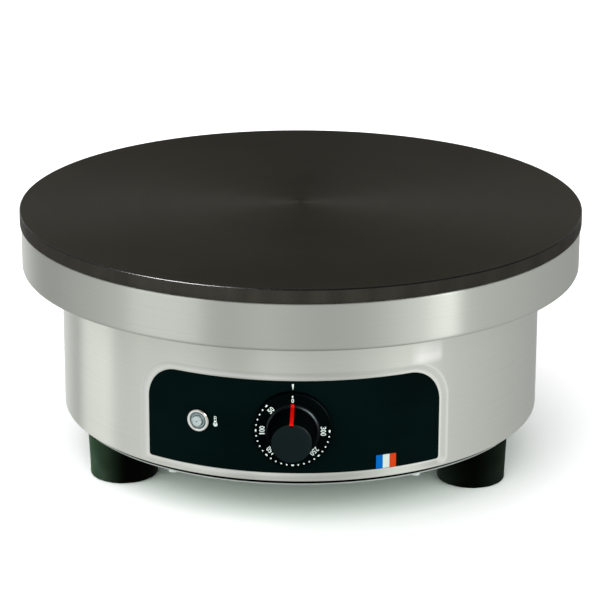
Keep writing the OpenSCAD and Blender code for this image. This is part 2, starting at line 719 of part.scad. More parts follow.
griddle_plate();
centre_stud();
tie_rods();
tie_spacers();
tie_washers();
tie_nuts();
element_outer();
element_middle();
element_inner();
element_clamp();
clamp_nut();
insulation_disc();
heat_shield();
upper_ring();
body_shell();
panel_overlay();
thermostat_bracket();
thermostat_body();
thermostat_screws();
sensing_bulb();
bulb_clip();
bulb_clip_screw();
capillary_tube();
limit_cutout();
lamp_body();
lamp_nut();
lamp_bezel();
lamp_lens();
wiring_bracket();
bracket_screws();
terminal_block();
terminal_screws();
earth_stud();
link_bars();
link_nuts();
thermostat_leads();
element_leads();
lamp_leads();
earth_lead();
gland_body();
gland_dome_nut();
gland_seal();
gland_locknut();
base_seal();
bottom_plate();
bottom_plate_screws();
rubber_feet();
foot_washers();
foot_screws();
foot_nuts();
whole_knob();  // control_knob
knob_pointer();
knob_spring_clip();
thermostat_spindle();
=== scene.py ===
import bpy
import bmesh
import json
import math
from mathutils import Matrix, Vector

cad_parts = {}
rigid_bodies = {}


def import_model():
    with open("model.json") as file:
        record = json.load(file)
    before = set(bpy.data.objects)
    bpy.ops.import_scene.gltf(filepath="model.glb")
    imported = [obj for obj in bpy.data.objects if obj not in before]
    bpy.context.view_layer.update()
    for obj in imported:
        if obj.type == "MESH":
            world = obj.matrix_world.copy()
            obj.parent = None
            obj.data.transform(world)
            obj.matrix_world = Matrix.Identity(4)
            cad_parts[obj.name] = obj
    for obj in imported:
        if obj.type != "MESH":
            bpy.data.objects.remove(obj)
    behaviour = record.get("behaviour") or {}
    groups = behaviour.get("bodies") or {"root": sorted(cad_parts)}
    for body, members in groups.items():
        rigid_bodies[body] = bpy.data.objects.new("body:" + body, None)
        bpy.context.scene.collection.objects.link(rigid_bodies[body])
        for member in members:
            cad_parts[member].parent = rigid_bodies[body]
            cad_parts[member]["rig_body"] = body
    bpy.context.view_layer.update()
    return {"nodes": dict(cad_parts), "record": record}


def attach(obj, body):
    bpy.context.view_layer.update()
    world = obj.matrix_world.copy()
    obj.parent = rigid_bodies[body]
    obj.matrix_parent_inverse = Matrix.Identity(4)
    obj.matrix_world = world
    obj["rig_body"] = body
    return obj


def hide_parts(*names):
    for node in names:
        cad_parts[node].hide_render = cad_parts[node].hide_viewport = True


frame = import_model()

# Electric crepe maker. Lengths in this file are millimetres unless a name or
# a comment says otherwise; mesh code turns them into metres.
MM = 0.001
NODES = frame["nodes"]
COLL = bpy.context.scene.collection
SLOT_OF = {s["node"]: s["material_slot"] for s in frame["record"]["subparts"]}

PLATE_R, PLATE_Z0, TOP = 200.0, 170.3, 180.0
RING_R, RING_Z0, RING_Z1 = 199.0, 136.7, 169.9
DRUM_R, DRUM_Z0, DRUM_Z1 = 170.85, 34.5, 136.7
DEPTH = 1.65
PRESS = 1.45             # how far the sheet itself is pressed in
PAD_R = DRUM_R - DEPTH
FACE_R = PAD_R + 0.45
KNOB_Z = 73.2
KNOB_BACK, KNOB_FRONT = 170.6, 200.0
DIAL_H = 5.3
KNOB_L = KNOB_FRONT - KNOB_BACK
LAMP_A = 22.0
PANEL_U = -0.45          # the pressed pad's middle, along the wall
GLAND_Z = 60.0


# ------------------------------------------------------------------ helpers

def sin(a):
    return math.sin(math.radians(a))


def cos(a):
    return math.cos(math.radians(a))


def arc(cx, cy, r, a0, a1, n):
    return [(cx + r * cos(a0 + (a1 - a0) * i / n),
             cy + r * sin(a0 + (a1 - a0) * i / n)) for i in range(n + 1)]


def steps(a, b, n):
    return [a + (b - a) * i / n for i in range(n + 1)]


# Frames: (x, y, h) of a turned part to the object's own x, y, z
def at_top(x, y, h):
    return (x, y, h)


def at_front(x, y, h):
    return (x, -h, y + KNOB_Z)


def at_knob(x, y, h):
    return (x, -(h + KNOB_BACK), y + KNOB_Z)


def at_lamp(x, y, h):
    a = 270 - LAMP_A
    r = FACE_R + h
    return (r * cos(a) - y * sin(a), r * sin(a) + y * cos(a), KNOB_Z - x)


def at_gland(x, y, h):
    return (x, h, GLAND_Z - y)


# A point of the front wall: u is the arc length at the drum's own radius
def on_wall(u, z, r):
    a = u / DRUM_R
    return (r * math.sin(a), -r * math.cos(a), z)


def piece(name, verts, faces, mat, body="root", angle=35, stands_for=()):
    me = bpy.data.meshes.new(name)
    me.from_pydata([(v[0] * MM, v[1] * MM, v[2] * MM) for v in verts], [],
                   faces)
    bm = bmesh.new()
    bm.from_mesh(me)
    if bm.calc_volume(signed=True) < 0:
        bmesh.ops.reverse_faces(bm, faces=bm.faces)
    bm.to_mesh(me)
    bm.free()
    me.polygons.foreach_set("use_smooth", [True] * len(me.polygons))
    me.set_sharp_from_angle(angle=math.radians(angle))
    me.materials.append(mat)
    ob = bpy.data.objects.new(name, me)
    COLL.objects.link(ob)
    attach(ob, body)
    if stands_for:
        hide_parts(*stands_for)
    return ob


def join_rings(rows, faces, loop=False):
    """Faces between rows of vertex numbers; a row of one number is a pole."""
    pairs = list(zip(rows, rows[1:]))
    if loop:
        pairs.append((rows[-1], rows[0]))
    for a, b in pairs:
        n = max(len(a), len(b))
        for i in range(n):
            j = (i + 1) % n
            if len(a) == 1:
                faces.append((a[0], b[j], b[i]))
            elif len(b) == 1:
                faces.append((a[i], a[j], b[0]))
            else:
                faces.append((a[i], a[j], b[j], b[i]))


def turned(profile, n, place, loop=False, verts=None, faces=None,
           centre=(0, 0)):
    """A turned shape. profile holds (r, h); a closed sheet loops."""
    verts = [] if verts is None else verts
    faces = [] if faces is None else faces
    rows = []
    for r, h in profile:
        row = []
        if r < 1e-6:
            row.append(len(verts))
            verts.append(place(centre[0], centre[1], h))
        else:
            for i in range(n):
                a = 360.0 * i / n
                row.append(len(verts))
                verts.append(place(centre[0] + r * cos(a),
                                   centre[1] + r * sin(a), h))
        rows.append(row)
    join_rings(rows, faces, loop)
    return verts, faces


# ---------------------------------------------------------------- materials

def new_mat(name, **values):
    m = bpy.data.materials.new(name)
    m.use_nodes = True
    nt = m.node_tree
    sh = next(n for n in nt.nodes if n.type == "BSDF_PRINCIPLED")
    for key, v in values.items():
        key = key.replace("_", " ")
        if isinstance(v, tuple) and len(v) == 3:
            v = (*v, 1.0)
        sh.inputs[key].default_value = v
    return m, nt, sh


def add(nt, kind, **props):
    n = nt.nodes.new(kind)
    for k, v in props.items():
        setattr(n, k, v)
    return n


def noise(nt, scale, grain=1.0, detail=3.0, rough=0.55, vector=None):
    """Noise in the object's own coordinates, stretched by scale per metre."""
    if vector is None:
        tc = add(nt, "ShaderNodeTexCoord")
        vector = tc.outputs["Object"]
    mp = add(nt, "ShaderNodeMapping")
    mp.inputs["Scale"].default_value = scale
    nt.links.new(vector, mp.inputs["Vector"])
    no = add(nt, "ShaderNodeTexNoise")
    no.inputs["Scale"].default_value = grain
    no.inputs["Detail"].default_value = detail
    no.inputs["Roughness"].default_value = rough
    nt.links.new(mp.outputs["Vector"], no.inputs["Vector"])
    return no.outputs["Fac"]


def ramp(nt, fac, stops):
    r = add(nt, "ShaderNodeValToRGB")
    el = r.color_ramp.elements
    while len(el) < len(stops):
        el.new(0.5)
    for e, (p, c) in zip(el, stops):
        e.position = p
        e.color = (*c, 1.0) if len(c) == 3 else c
    nt.links.new(fac, r.inputs["Fac"])
    return r.outputs["Color"]


def span(nt, value, lo, hi, a=0.0, b=1.0):
    """value from a..b carried to lo..hi."""
    m = add(nt, "ShaderNodeMapRange")
    m.inputs["From Min"].default_value = a
    m.inputs["From Max"].default_value = b
    m.inputs["To Min"].default_value = lo
    m.inputs["To Max"].default_value = hi
    nt.links.new(value, m.inputs["Value"])
    return m.outputs["Result"]


def bump(nt, height, sh, strength, dist, base=None):
    b = add(nt, "ShaderNodeBump")
    b.inputs["Strength"].default_value = strength
    b.inputs["Distance"].default_value = dist
    nt.links.new(height, b.inputs["Height"])
    if base is not None:
        nt.links.new(base, b.inputs["Normal"])
    nt.links.new(b.outputs["Normal"], sh.inputs["Normal"])
    return b.outputs["Normal"]


def math_node(nt, op, a, b=None):
    m = add(nt, "ShaderNodeMath", operation=op)
    for i, v in enumerate((a, b)):
        if v is None:
            continue
        if isinstance(v, (int, float)):
            m.inputs[i].default_value = v
        else:
            nt.links.new(v, m.inputs[i])
    return m.outputs[0]


def mix_col(nt, fac, a, b, mode="MIX"):
    m = add(nt, "ShaderNodeMix", data_type="RGBA", blend_type=mode)
    for sock, v in ((m.inputs["Factor"], fac), (m.inputs[6], a),
                    (m.inputs[7], b)):
        if isinstance(v, (int, float)):
            sock.default_value = v
        elif isinstance(v, tuple):
            sock.default_value = (*v, 1.0) if len(v) == 3 else v
        else:
            nt.links.new(v, sock)
    return m.outputs[2]


MATS = {}


def brushed_drum(name, k, rough, aniso):
    """Stainless sheet brushed round the drum."""
    m, nt, sh = new_mat(name, Metallic=1.0, Anisotropic=aniso,
                        Anisotropic_Rotation=0.25)
    fine = noise(nt, (26, 26, 2600), detail=4.0, rough=0.6)
    wide = noise(nt, (7, 7, 620), detail=3.0)
    cloud = noise(nt, (9, 9, 14), detail=2.0)
    both = math_node(nt, "ADD", math_node(nt, "MULTIPLY", fine, 0.6),
                     math_node(nt, "MULTIPLY", wide, 0.4))
    col = ramp(nt, both, [(0.30, (0.560 * k, 0.585 * k, 0.530 * k)),
                          (0.50, (0.600 * k, 0.624 * k, 0.570 * k)),
                          (0.72, (0.635 * k, 0.658 * k, 0.605 * k))])
    col = mix_col(nt, span(nt, cloud, 0.0, 0.10), col,
                  (0.50 * k, 0.52 * k, 0.475 * k))
    # Painted highlight and shade: a per-vertex attribute, set on the drum's
    # pressed bevel and on a patch above the panel, lightens the base colour
    # towards white, and below 0 darkens it.
    sheen_attr = add(nt, "ShaderNodeAttribute", attribute_name="painted_sheen")
    col = mix_col(nt, span(nt, sheen_attr.outputs["Fac"], 0.0, 0.9), col,
                  (0.88, 0.90, 0.85))
    col = mix_col(nt, span(nt, sheen_attr.outputs["Fac"], 0.0, 1.0, 1.0, 2.0),
                  col, (1.0, 1.0, 0.97))
    col = mix_col(nt, span(nt, sheen_attr.outputs["Fac"], 0.0, 1.0, 0.0, -1.0),
                  col, (0.46, 0.47, 0.44))
    nt.links.new(col, sh.inputs["Base Color"])
    nt.links.new(span(nt, both, rough - 0.04, rough + 0.04, 0.3, 0.7),
                 sh.inputs["Roughness"])
    tg = add(nt, "ShaderNodeTangent", direction_type="RADIAL", axis="Z")
    nt.links.new(tg.outputs["Tangent"], sh.inputs["Tangent"])
    bump(nt, both, sh, 0.06, 0.00004)
    return m


def brushed_flat():
    """Sheet brushed along X, for the bottom plate."""
    m, nt, sh = new_mat("steel_flat", Metallic=1.0)
    fine = noise(nt, (30, 2200, 40), detail=4.0, rough=0.6)
    spots = noise(nt, (24, 24, 24), detail=3.0)
    # The base is darker and greener than the drum's steel: painted shade,
    # tinted like the greenish shadow under the drum.
    col = ramp(nt, fine, [(0.3, (0.48, 0.54, 0.50)), (0.7, (0.56, 0.62, 0.58))])
    col = mix_col(nt, span(nt, spots, 0.0, 0.25, 0.45, 0.75), col,
                  (0.42, 0.48, 0.44))
    nt.links.new(col, sh.inputs["Base Color"])
    nt.links.new(span(nt, fine, 0.30, 0.42, 0.3, 0.7), sh.inputs["Roughness"])
    bump(nt, fine, sh, 0.12, 0.00005)
    return m


def cast_plate():
    """Turned and oiled cast iron: fine rings, pores and a darker film."""
    m, nt, sh = new_mat("cast_iron_turned", Anisotropic=0.7,
                        Anisotropic_Rotation=0.25,
                        Specular_IOR_Level=0.006)
    tc = add(nt, "ShaderNodeTexCoord")
    sep = add(nt, "ShaderNodeSeparateXYZ")
    nt.links.new(tc.outputs["Object"], sep.inputs["Vector"])
    flat = add(nt, "ShaderNodeCombineXYZ")
    nt.links.new(sep.outputs["X"], flat.inputs["X"])
    nt.links.new(sep.outputs["Y"], flat.inputs["Y"])
    ln = add(nt, "ShaderNodeVectorMath", operation="LENGTH")
    nt.links.new(flat.outputs["Vector"], ln.inputs[0])
    rad = add(nt, "ShaderNodeCombineXYZ")
    nt.links.new(ln.outputs["Value"], rad.inputs["X"])
    rings = noise(nt, (1500, 1, 1), detail=3.0, vector=rad.outputs["Vector"])
    bands = noise(nt, (95, 1, 1), detail=2.0, vector=rad.outputs["Vector"])
    grain = noise(nt, (1100, 1100, 1100), detail=2.0)
    film = noise(nt, (11, 11, 11), detail=4.0, rough=0.6)
    geo = add(nt, "ShaderNodeNewGeometry")
    up = add(nt, "ShaderNodeSeparateXYZ")
    nt.links.new(geo.outputs["Normal"], up.inputs["Vector"])
    top = span(nt, up.outputs["Z"], 0.0, 1.0, 0.3, 0.7)
    col = ramp(nt, film, [(0.30, (0.0106, 0.0098, 0.0066)),
                          (0.55, (0.0120, 0.0111, 0.0076)),
                          (0.75, (0.0135, 0.0125, 0.0087))])
    col = mix_col(nt, span(nt, rings, 0.0, 0.35, 0.35, 0.65), col,
                  (0.0084, 0.0078, 0.0053))
    col = mix_col(nt, span(nt, bands, 0.0, 0.25, 0.4, 0.7), col,
                  (0.0160, 0.0149, 0.0105))
    # pores of the casting
    vo = add(nt, "ShaderNodeTexVoronoi", feature="F1")
    vo.inputs["Scale"].default_value = 260.0
    nt.links.new(tc.outputs["Object"], vo.inputs["Vector"])
    pore = span(nt, vo.outputs["Distance"], 1.0, 0.0, 0.10, 0.17)
    pick = span(nt, noise(nt, (150, 150, 150), detail=1.0), 0.0, 1.0, 0.52,
                0.58)
    pore = math_node(nt, "MULTIPLY", math_node(nt, "MULTIPLY", pore, pick),
                     top)
    col = mix_col(nt, math_node(nt, "MULTIPLY", pore, 0.75), col,
                  (0.0040, 0.0040, 0.0036))
    # the rim is a little paler than the top and softly mottled
    marks = noise(nt, (75, 75, 16), detail=3.0)
    rim = math_node(nt, "SUBTRACT", 1.0, top)
    rim_col = mix_col(nt, span(nt, marks, 0.0, 1.0, 0.35, 0.65),
                      (0.0138, 0.0123, 0.0106), (0.0190, 0.0169, 0.0148))
    col = mix_col(nt, rim, col, rim_col)
    nt.links.new(col, sh.inputs["Base Color"])
    nt.links.new(span(nt, grain, 0.36, 0.50, 0.3, 0.7), sh.inputs["Roughness"])
    tg = add(nt, "ShaderNodeTangent", direction_type="RADIAL", axis="Z")
    nt.links.new(tg.outputs["Tangent"], sh.inputs["Tangent"])
    h = math_node(nt, "ADD", math_node(nt, "MULTIPLY", rings, 0.7),
                  math_node(nt, "MULTIPLY", grain, 0.3))
    h = math_node(nt, "SUBTRACT", h, math_node(nt, "MULTIPLY", pore, 1.2))
    bump(nt, h, sh, 0.25, 0.00005)
    return m


def moulded(name, c0, c1, rough, spread=0.05, grain=1400, depth=0.00002,
            cells=18, **values):
    """Moulded plastic or rubber: fine grain and a faint cloud of colour."""
    m, nt, sh = new_mat(name, **values)
    cloud = noise(nt, (cells, cells, cells), detail=3.0)
    fine = noise(nt, (grain, grain, grain), detail=2.0)
    nt.links.new(ramp(nt, cloud, [(0.32, c0), (0.68, c1)]),
                 sh.inputs["Base Color"])
    nt.links.new(span(nt, fine, rough - spread, rough + spread, 0.3, 0.7),
                 sh.inputs["Roughness"])
    bump(nt, fine, sh, 0.3, depth)
    return m


def plated(name, c0, c1, rough, scale=60, spread=0.07):
    """Plated or drawn metal with soft blotches and fine scratches."""
    m, nt, sh = new_mat(name, Metallic=1.0)
    cloud = noise(nt, (scale, scale, scale), detail=4.0, rough=0.6)
    fine = noise(nt, (900, 240, 900), detail=3.0)
    nt.links.new(ramp(nt, cloud, [(0.3, c0), (0.7, c1)]),
                 sh.inputs["Base Color"])
    nt.links.new(span(nt, cloud, rough - spread, rough + spread, 0.3, 0.7),
                 sh.inputs["Roughness"])
    bump(nt, fine, sh, 0.15, 0.00003)
    return m


def panel_film():
    """Black printed film, glossy, very slightly uneven."""
    m, nt, sh = new_mat("panel_film", Specular_IOR_Level=0.010)
    cloud = noise(nt, (10, 10, 16), detail=2.0)
    fine = noise(nt, (1700, 1700, 1700), detail=2.0)
    nt.links.new(ramp(nt, cloud, [(0.3, (0.0001, 0.0016, 0.0015)),
                                  (0.7, (0.0005, 0.0030, 0.0031))]),
                 sh.inputs["Base Color"])
    nt.links.new(span(nt, fine, 0.13, 0.20, 0.3, 0.7), sh.inputs["Roughness"])
    bump(nt, fine, sh, 0.12, 0.00001)
    return m


def lens_plastic():
    m, nt, sh = new_mat("lamp_lens_plastic", Transmission_Weight=0.25,
                        IOR=1.49, Coat_Weight=0.3, Coat_Roughness=0.08)
    cloud = noise(nt, (300, 300, 300), detail=2.0)
    nt.links.new(ramp(nt, cloud, [(0.3, (0.220, 0.250, 0.262)),
                                  (0.7, (0.295, 0.327, 0.340))]),
                 sh.inputs["Base Color"])
    nt.links.new(span(nt, cloud, 0.22, 0.34, 0.3, 0.7), sh.inputs["Roughness"])
    return m


MATS["cast_iron"] = cast_plate()
# near-black base: painted shade for the dark line along the plate's rounded
# edge
MATS["cast_edge"] = moulded("cast_edge", (0.0008, 0.0008, 0.0006),
                            (0.0016, 0.0015, 0.0012), 0.25, 0.06, 900,
                            0.00002, 60, Specular_IOR_Level=0.10)
# The drum's steel is a paler copy of the ring's (base times 1.24): painted
# light, to make the drum brighter than the ring.
MATS["brushed_steel"] = brushed_drum("steel_drum", 1.24, 0.37, 1.0)
MATS["steel_ring"] = brushed_drum("steel_ring", 1.0, 0.34, 1.0)
MATS["steel_flat"] = brushed_flat()
MATS["zinc_steel"] = plated("zinc_plate", (0.50, 0.52, 0.54),
                            (0.64, 0.65, 0.66), 0.34)
MATS["heater_sheath"] = plated("annealed_sheath", (0.11, 0.115, 0.10),
                               (0.20, 0.19, 0.17), 0.48)
MATS["insulation"] = moulded("pressed_wool", (0.70, 0.67, 0.58),
                             (0.85, 0.82, 0.74), 0.92, 0.04, 700, 0.0004, 60)
MATS["panel_black"] = panel_film()
# The knob's body is a darker copy of the cap's black: painted shade on the
# skirt and grip.
MATS["knob_black"] = moulded("knob_phenolic", (0.0001, 0.0005, 0.0006),
                             (0.0002, 0.0009, 0.0010), 0.32, 0.04, 1500,
                             0.000008, Specular_IOR_Level=0.003)
MATS["knob_fillet"] = moulded("knob_fillet", (0.0001, 0.0005, 0.0006),
                              (0.0002, 0.0009, 0.0010), 0.42, 0.04, 1500,
                              0.000008, Specular_IOR_Level=0.007)
MATS["knob_edge"] = moulded("knob_edge", (0.0001, 0.0005, 0.0006),
                            (0.0002, 0.0009, 0.0010), 0.45, 0.05, 1500,
                            0.000008, Specular_IOR_Level=0.001)
MATS["knob_cap"] = moulded("knob_cap", (0.0005, 0.0026, 0.0031),
                           (0.0009, 0.0036, 0.0042), 0.42, 0.05, 1500,
                           0.00002, Specular_IOR_Level=0.015)
MATS["pointer_red"] = moulded("pointer_plastic", (0.40, 0.0016, 0.0006),
                              (0.46, 0.0024, 0.0010), 0.30, 0.05, 1500,
                              0.00001, Specular_IOR_Level=0.04)
MATS["screw_zinc"] = plated("screw_zinc", (0.72, 0.80, 0.76),
                            (0.84, 0.91, 0.87), 0.30, 200)
MATS["chrome"] = plated("chrome_plate", (0.77, 0.80, 0.77),
                        (0.83, 0.86, 0.83), 0.07, 90, 0.02)
MATS["chrome_edge"] = plated("chrome_edge", (0.52, 0.50, 0.42),
                             (0.62, 0.60, 0.52), 0.10, 90, 0.02)
MATS["lens_clear"] = lens_plastic()
MATS["lamp_plastic"] = moulded("lamp_shell", (0.70, 0.70, 0.67),
                               (0.78, 0.78, 0.75), 0.42)
MATS["ceramic"] = moulded("steatite", (0.80, 0.78, 0.71), (0.88, 0.86, 0.80),
                          0.62, 0.06, 1100, 0.00004, 90)
MATS["brass"] = plated("brass_bar", (0.58, 0.42, 0.14), (0.70, 0.54, 0.22),
                       0.33)
MATS["copper"] = plated("copper_tube", (0.56, 0.30, 0.16),
                        (0.68, 0.41, 0.24), 0.32)
MATS["lead_brown"] = moulded("lead_brown", (0.13, 0.065, 0.032),
                             (0.18, 0.09, 0.045), 0.48)
MATS["lead_white"] = moulded("lead_white", (0.66, 0.66, 0.62),
                             (0.76, 0.76, 0.72), 0.60, 0.06, 1300, 0.0001)
MATS["lead_grey"] = moulded("lead_grey", (0.10, 0.11, 0.135),
                            (0.14, 0.15, 0.18), 0.48)
MATS["lead_green"] = moulded("lead_green", (0.16, 0.36, 0.045),
                             (0.24, 0.47, 0.075), 0.46)
MATS["gland_black"] = moulded("gland_polyamide", (0.014, 0.014, 0.016),
                              (0.022, 0.022, 0.024), 0.50, 0.06, 900, 0.00004)
MATS["rubber_black"] = moulded("foot_rubber", (0.0002, 0.0003, 0.0002),
                               (0.0004, 0.0005, 0.0004), 0.55, 0.07, 700,
                               0.00005, 40, Specular_IOR_Level=0.008)
MATS["lens_rim"] = moulded("lens_rim_plastic", (0.105, 0.135, 0.145),
                           (0.145, 0.175, 0.185), 0.30, 0.06, 900, 0.00001,
                           200)
MATS["ink_white"] = moulded("ink_white", (0.44, 0.47, 0.465),
                            (0.50, 0.53, 0.525), 0.48,
                            Specular_IOR_Level=0.05)
MATS["ink_pale"] = moulded("ink_pale", (0.30, 0.33, 0.33),
                           (0.35, 0.38, 0.38), 0.48,
                           Specular_IOR_Level=0.05)
MATS["ink_blue"] = moulded("ink_blue", (0.0, 0.056, 0.235),
                           (0.0004, 0.068, 0.265), 0.45,
                           Specular_IOR_Level=0.02)
MATS["ink_red"] = moulded("ink_red", (0.30, 0.022, 0.0035),
                          (0.35, 0.030, 0.0055), 0.45,
                          Specular_IOR_Level=0.02)
# near-black material for the lens's gap and dimple: painted shade
MATS["painted_shade_dark"] = moulded("painted_shade_dark", (0.006, 0.010, 0.011),
                           (0.009, 0.014, 0.015), 0.40)

# CAD nodes take the material of their slot
for node_name, ob in NODES.items():
    m = MATS[SLOT_OF[node_name]]
    if node_name == "bottom_plate":
        m = MATS["steel_flat"]
    if node_name == "bottom_plate_screws":
        m = MATS["screw_zinc"]
    if not ob.material_slots:
        ob.data.materials.append(m)
    for s in ob.material_slots:
        s.material = m

# ------------------------------------------------------------------ griddle

v, f = turned(
    [(0, TOP)] + [(r, TOP) for r in (1, 4, 12, 30, 60, 90, 120, 150, 175, 190,
                                     197, 198.8)]
    + arc(PLATE_R - 0.8, TOP - 0.8, 0.8, 90, 0, 8)
    + [(PLATE_R, TOP - 3), (PLATE_R, TOP - 6), (PLATE_R, PLATE_Z0 + 0.4),
       (PLATE_R - 0.12, PLATE_Z0 + 0.12), (PLATE_R - 0.4, PLATE_Z0),
       (198, PLATE_Z0), (190, PLATE_Z0), (120, PLATE_Z0), (0, PLATE_Z0)],
    384, at_top)
ob = piece("griddle", v, f, MATS["cast_iron"],
           stands_for=("griddle_plate",), angle=50)
# the rounded upper edge is smooth and glossier than the faces; its near-black
# base is painted shade, a dark line along the edge
ob.data.materials.append(MATS["cast_edge"])
for p in ob.data.polygons:
    at = [ob.data.vertices[i].co for i in p.vertices]
    if (min(q.z for q in at) > (TOP - 0.81) * MM
            and min(math.hypot(q.x, q.y) for q in at)
            > (PLATE_R - 0.81) * MM):
        p.material_index = 1

# --------------------------------------------------------------- upper ring

v, f = turned(
    [(152, RING_Z0), (170, RING_Z0), (190, RING_Z0)]
    + arc(RING_R - 3, RING_Z0 + 3, 3, -90, 0, 12)
    + [(RING_R, z) for z in steps(RING_Z0 + 6, RING_Z1 - 3, 8)]
    + arc(RING_R - 1.4, RING_Z1 - 1.4, 1.4, 0, 90, 8)
    + [(RING_R - 5, RING_Z1), (RING_R - 10, RING_Z1),
       (RING_R - 10, RING_Z1 - 1), (RING_R - 1.4, RING_Z1 - 1),
       (RING_R - 1, RING_Z1 - 1.4), (RING_R - 1, RING_Z0 + 3)]
    + arc(RING_R - 3, RING_Z0 + 3, 2, 0, -90, 8)[1:]
    + [(152, RING_Z0 + 1)],
    384, at_top, loop=True)
piece("ring_upper", v, f, MATS["steel_ring"],
      stands_for=("upper_ring",), angle=40)


# --------------------------------------------------------------- body shell

def round_box(u, z, half, z0, z1, r_top, r_low):
    """Signed distance to a rounded rectangle, negative inside."""
    zc, hz = (z0 + z1) / 2, (z1 - z0) / 2
    r = r_top if z > zc else r_low
    qu = abs(u) - (half - r)
    qz = abs(z - zc) - (hz - r)
    return (math.hypot(max(qu, 0), max(qz, 0)) + min(max(qu, qz), 0) - r)


def across_bevel(u, z):
    """0 on the sheet, 1 on the pressed pad, and between them on the bevel."""
    u -= PANEL_U
    d_out = -round_box(u, z, 112.9, 35.4, 112.8, 29.0, 6.0)
    if d_out <= 0:
        return 0.0
    d_in = round_box(u, z, 106.0, 39.8, 107.0, 23.8, 2.6)
    if d_in <= 0:
        return 1.0
    return d_out / (d_out + d_in)


def painted_bevel_light(u, z):
    """Painted highlight on the bevel, up to 1: the whole slope on
    the left, only its two bends on the right. Below 0 it is painted shade."""
    t = across_bevel(u, z)
    slope = max(0.0, min(1.0, (t - 0.30) / 0.40, (1.0 - t) / 0.08))
    left = (slope * (1 + 0.6 * max(0.0, min(1.0, (u + 75) / 35)))
            + 0.25 * max(0.0, 1 - abs(t - 0.12) / 0.12))
    side = max(0.0, min(1.0, (u - 70) / 20))
    dull = max(0.0, min(1.0, (t - 0.2) / 0.1, (0.83 - t) / 0.1))
    right = ((0.2 + 1.1 * side) * max(0.0, 1 - abs(t - 0.92) / 0.09)
             + 0.5 * side * max(0.0, 1 - abs(t - 0.10) / 0.10)
             - 0.12 * side * dull)
    k = max(0.0, min(1.0, (u + 20) / 60))
    return left * (1 - k) + right * k


def painted_patch_light(a, z):
    """A painted highlight: a patch above the panel's right end, made brighter.
    """
    return (2.1 * max(0.0, min(1.0, (a - 27) / 2.8, 35.9 - a))
            * max(0.0, min(1.0, (z - 110.5) / 3.5, (129 - z) / 13)))


def pressed(u, z):
    """How far the wall is pressed in, from 0 to 1."""
    t = across_bevel(u, z)
    k = 0.30
    if t < k:
        return t * t / (2 * k * (1 - k))
    if t > 1 - k:
        return 1 - (1 - t) ** 2 / (2 * k * (1 - k))
    return (t - k / 2) / (1 - k)


azimuths = steps(-40, 40, 400) + steps(42, 318, 138)
outer_z = steps(35.9, 40.5, 14) + steps(41, 105, 80)[0:] \
    + steps(105.4, 117.4, 24) + steps(120, 135.1, 5)
inner_z = steps(135.1, 112, 5) + steps(110, 38, 24) + [35.9]
prof = [(150, DRUM_Z0, 0), (158, DRUM_Z0, 0)]
prof += [(r, z, 0) for r, z in arc(DRUM_R - 1.4, DRUM_Z0 + 1.4, 1.4, -90, 0,
                                   8)[:-1]]
prof += [(DRUM_R, z, 1) for z in outer_z]
prof += [(r, z, 0) for r, z in arc(DRUM_R - 1.6, DRUM_Z1 - 1.6, 1.6, 0, 90,
                                   7)[1:]]
prof += [(150, DRUM_Z1, 0), (150, DRUM_Z1 - 1, 0)]
prof += [(DRUM_R - 1.6, DRUM_Z1 - 1, 0)]
prof += [(DRUM_R - 1, z, 1) for z in inner_z]
prof += [(r, z, 0) for r, z in arc(DRUM_R - 1.4, DRUM_Z0 + 1.4, 0.4, 0, -90,
                                   4)[1:]]
prof += [(150, DRUM_Z0 + 1, 0)]
v, f, rows, painted_sheen = [], [], [], []
for r, z, wall in prof:
    row = []
    for a in azimuths:
        rr, painted_light = r, 0.0
        if wall and abs(a) < 39:
            u = math.radians(a) * DRUM_R
            rr = r - PRESS * pressed(u, z)
            if r > DRUM_R - 0.5:
                painted_light = painted_patch_light(a, z) or painted_bevel_light(u, z)
        row.append(len(v))
        v.append((rr * sin(a), -rr * cos(a), z))
        painted_sheen.append(painted_light)
    rows.append(row)
join_rings(rows, f, loop=True)
ob = piece("shell_drum", v, f, MATS["brushed_steel"],
           stands_for=("body_shell",), angle=40)
# the two bends of the pressed pad, its left slope and a patch above its right
# end are painted brighter than the sheet (painted highlight), and part of the
# right slope darker (painted shade)
layer = ob.data.attributes.new("painted_sheen", "FLOAT", "POINT")
layer.data.foreach_set("value", painted_sheen)


# ------------------------------------------------------------ panel overlay

def overlay_half(z, half, z0, z1, r_top, r_low):
    if z > z1 - r_top:
        d = min(z - (z1 - r_top), r_top)
        return half - r_top + math.sqrt(max(r_top ** 2 - d ** 2, 0))
    if z < z0 + r_low:
        d = min(z0 + r_low - z, r_low)
        return half - r_low + math.sqrt(max(r_low ** 2 - d ** 2, 0))
    return half


def overlay_rows(inset):
    z0, z1 = 40.2 + inset, 106.0 - inset
    half, rt, rl = 105.8 - inset, 23.6 - inset, 1.8 - inset
    zs = [z0 + rl - rl * cos(a) for a in steps(0, 90, 6)]
    zs += steps(z0 + rl, z1 - rt, 12)[1:-1]
    zs += [z1 - rt + rt * sin(a) for a in steps(0, 90, 26)]
    return [(z, overlay_half(z, half, z0, z1, rt, rl)) for z in zs]


def overlay_grid(inset, r, verts, n=160):
    rows = []
    for z, w in overlay_rows(inset):
        row = []
        for i in range(n + 1):
            row.append(len(verts))
            verts.append(on_wall(PANEL_U + w * (2.0 * i / n - 1), z, r))
        rows.append(row)
    return rows


def border(rows):
    return (rows[0] + [r[-1] for r in rows[1:]] + rows[-1][-2::-1]
            + [r[0] for r in rows[-2:0:-1]])


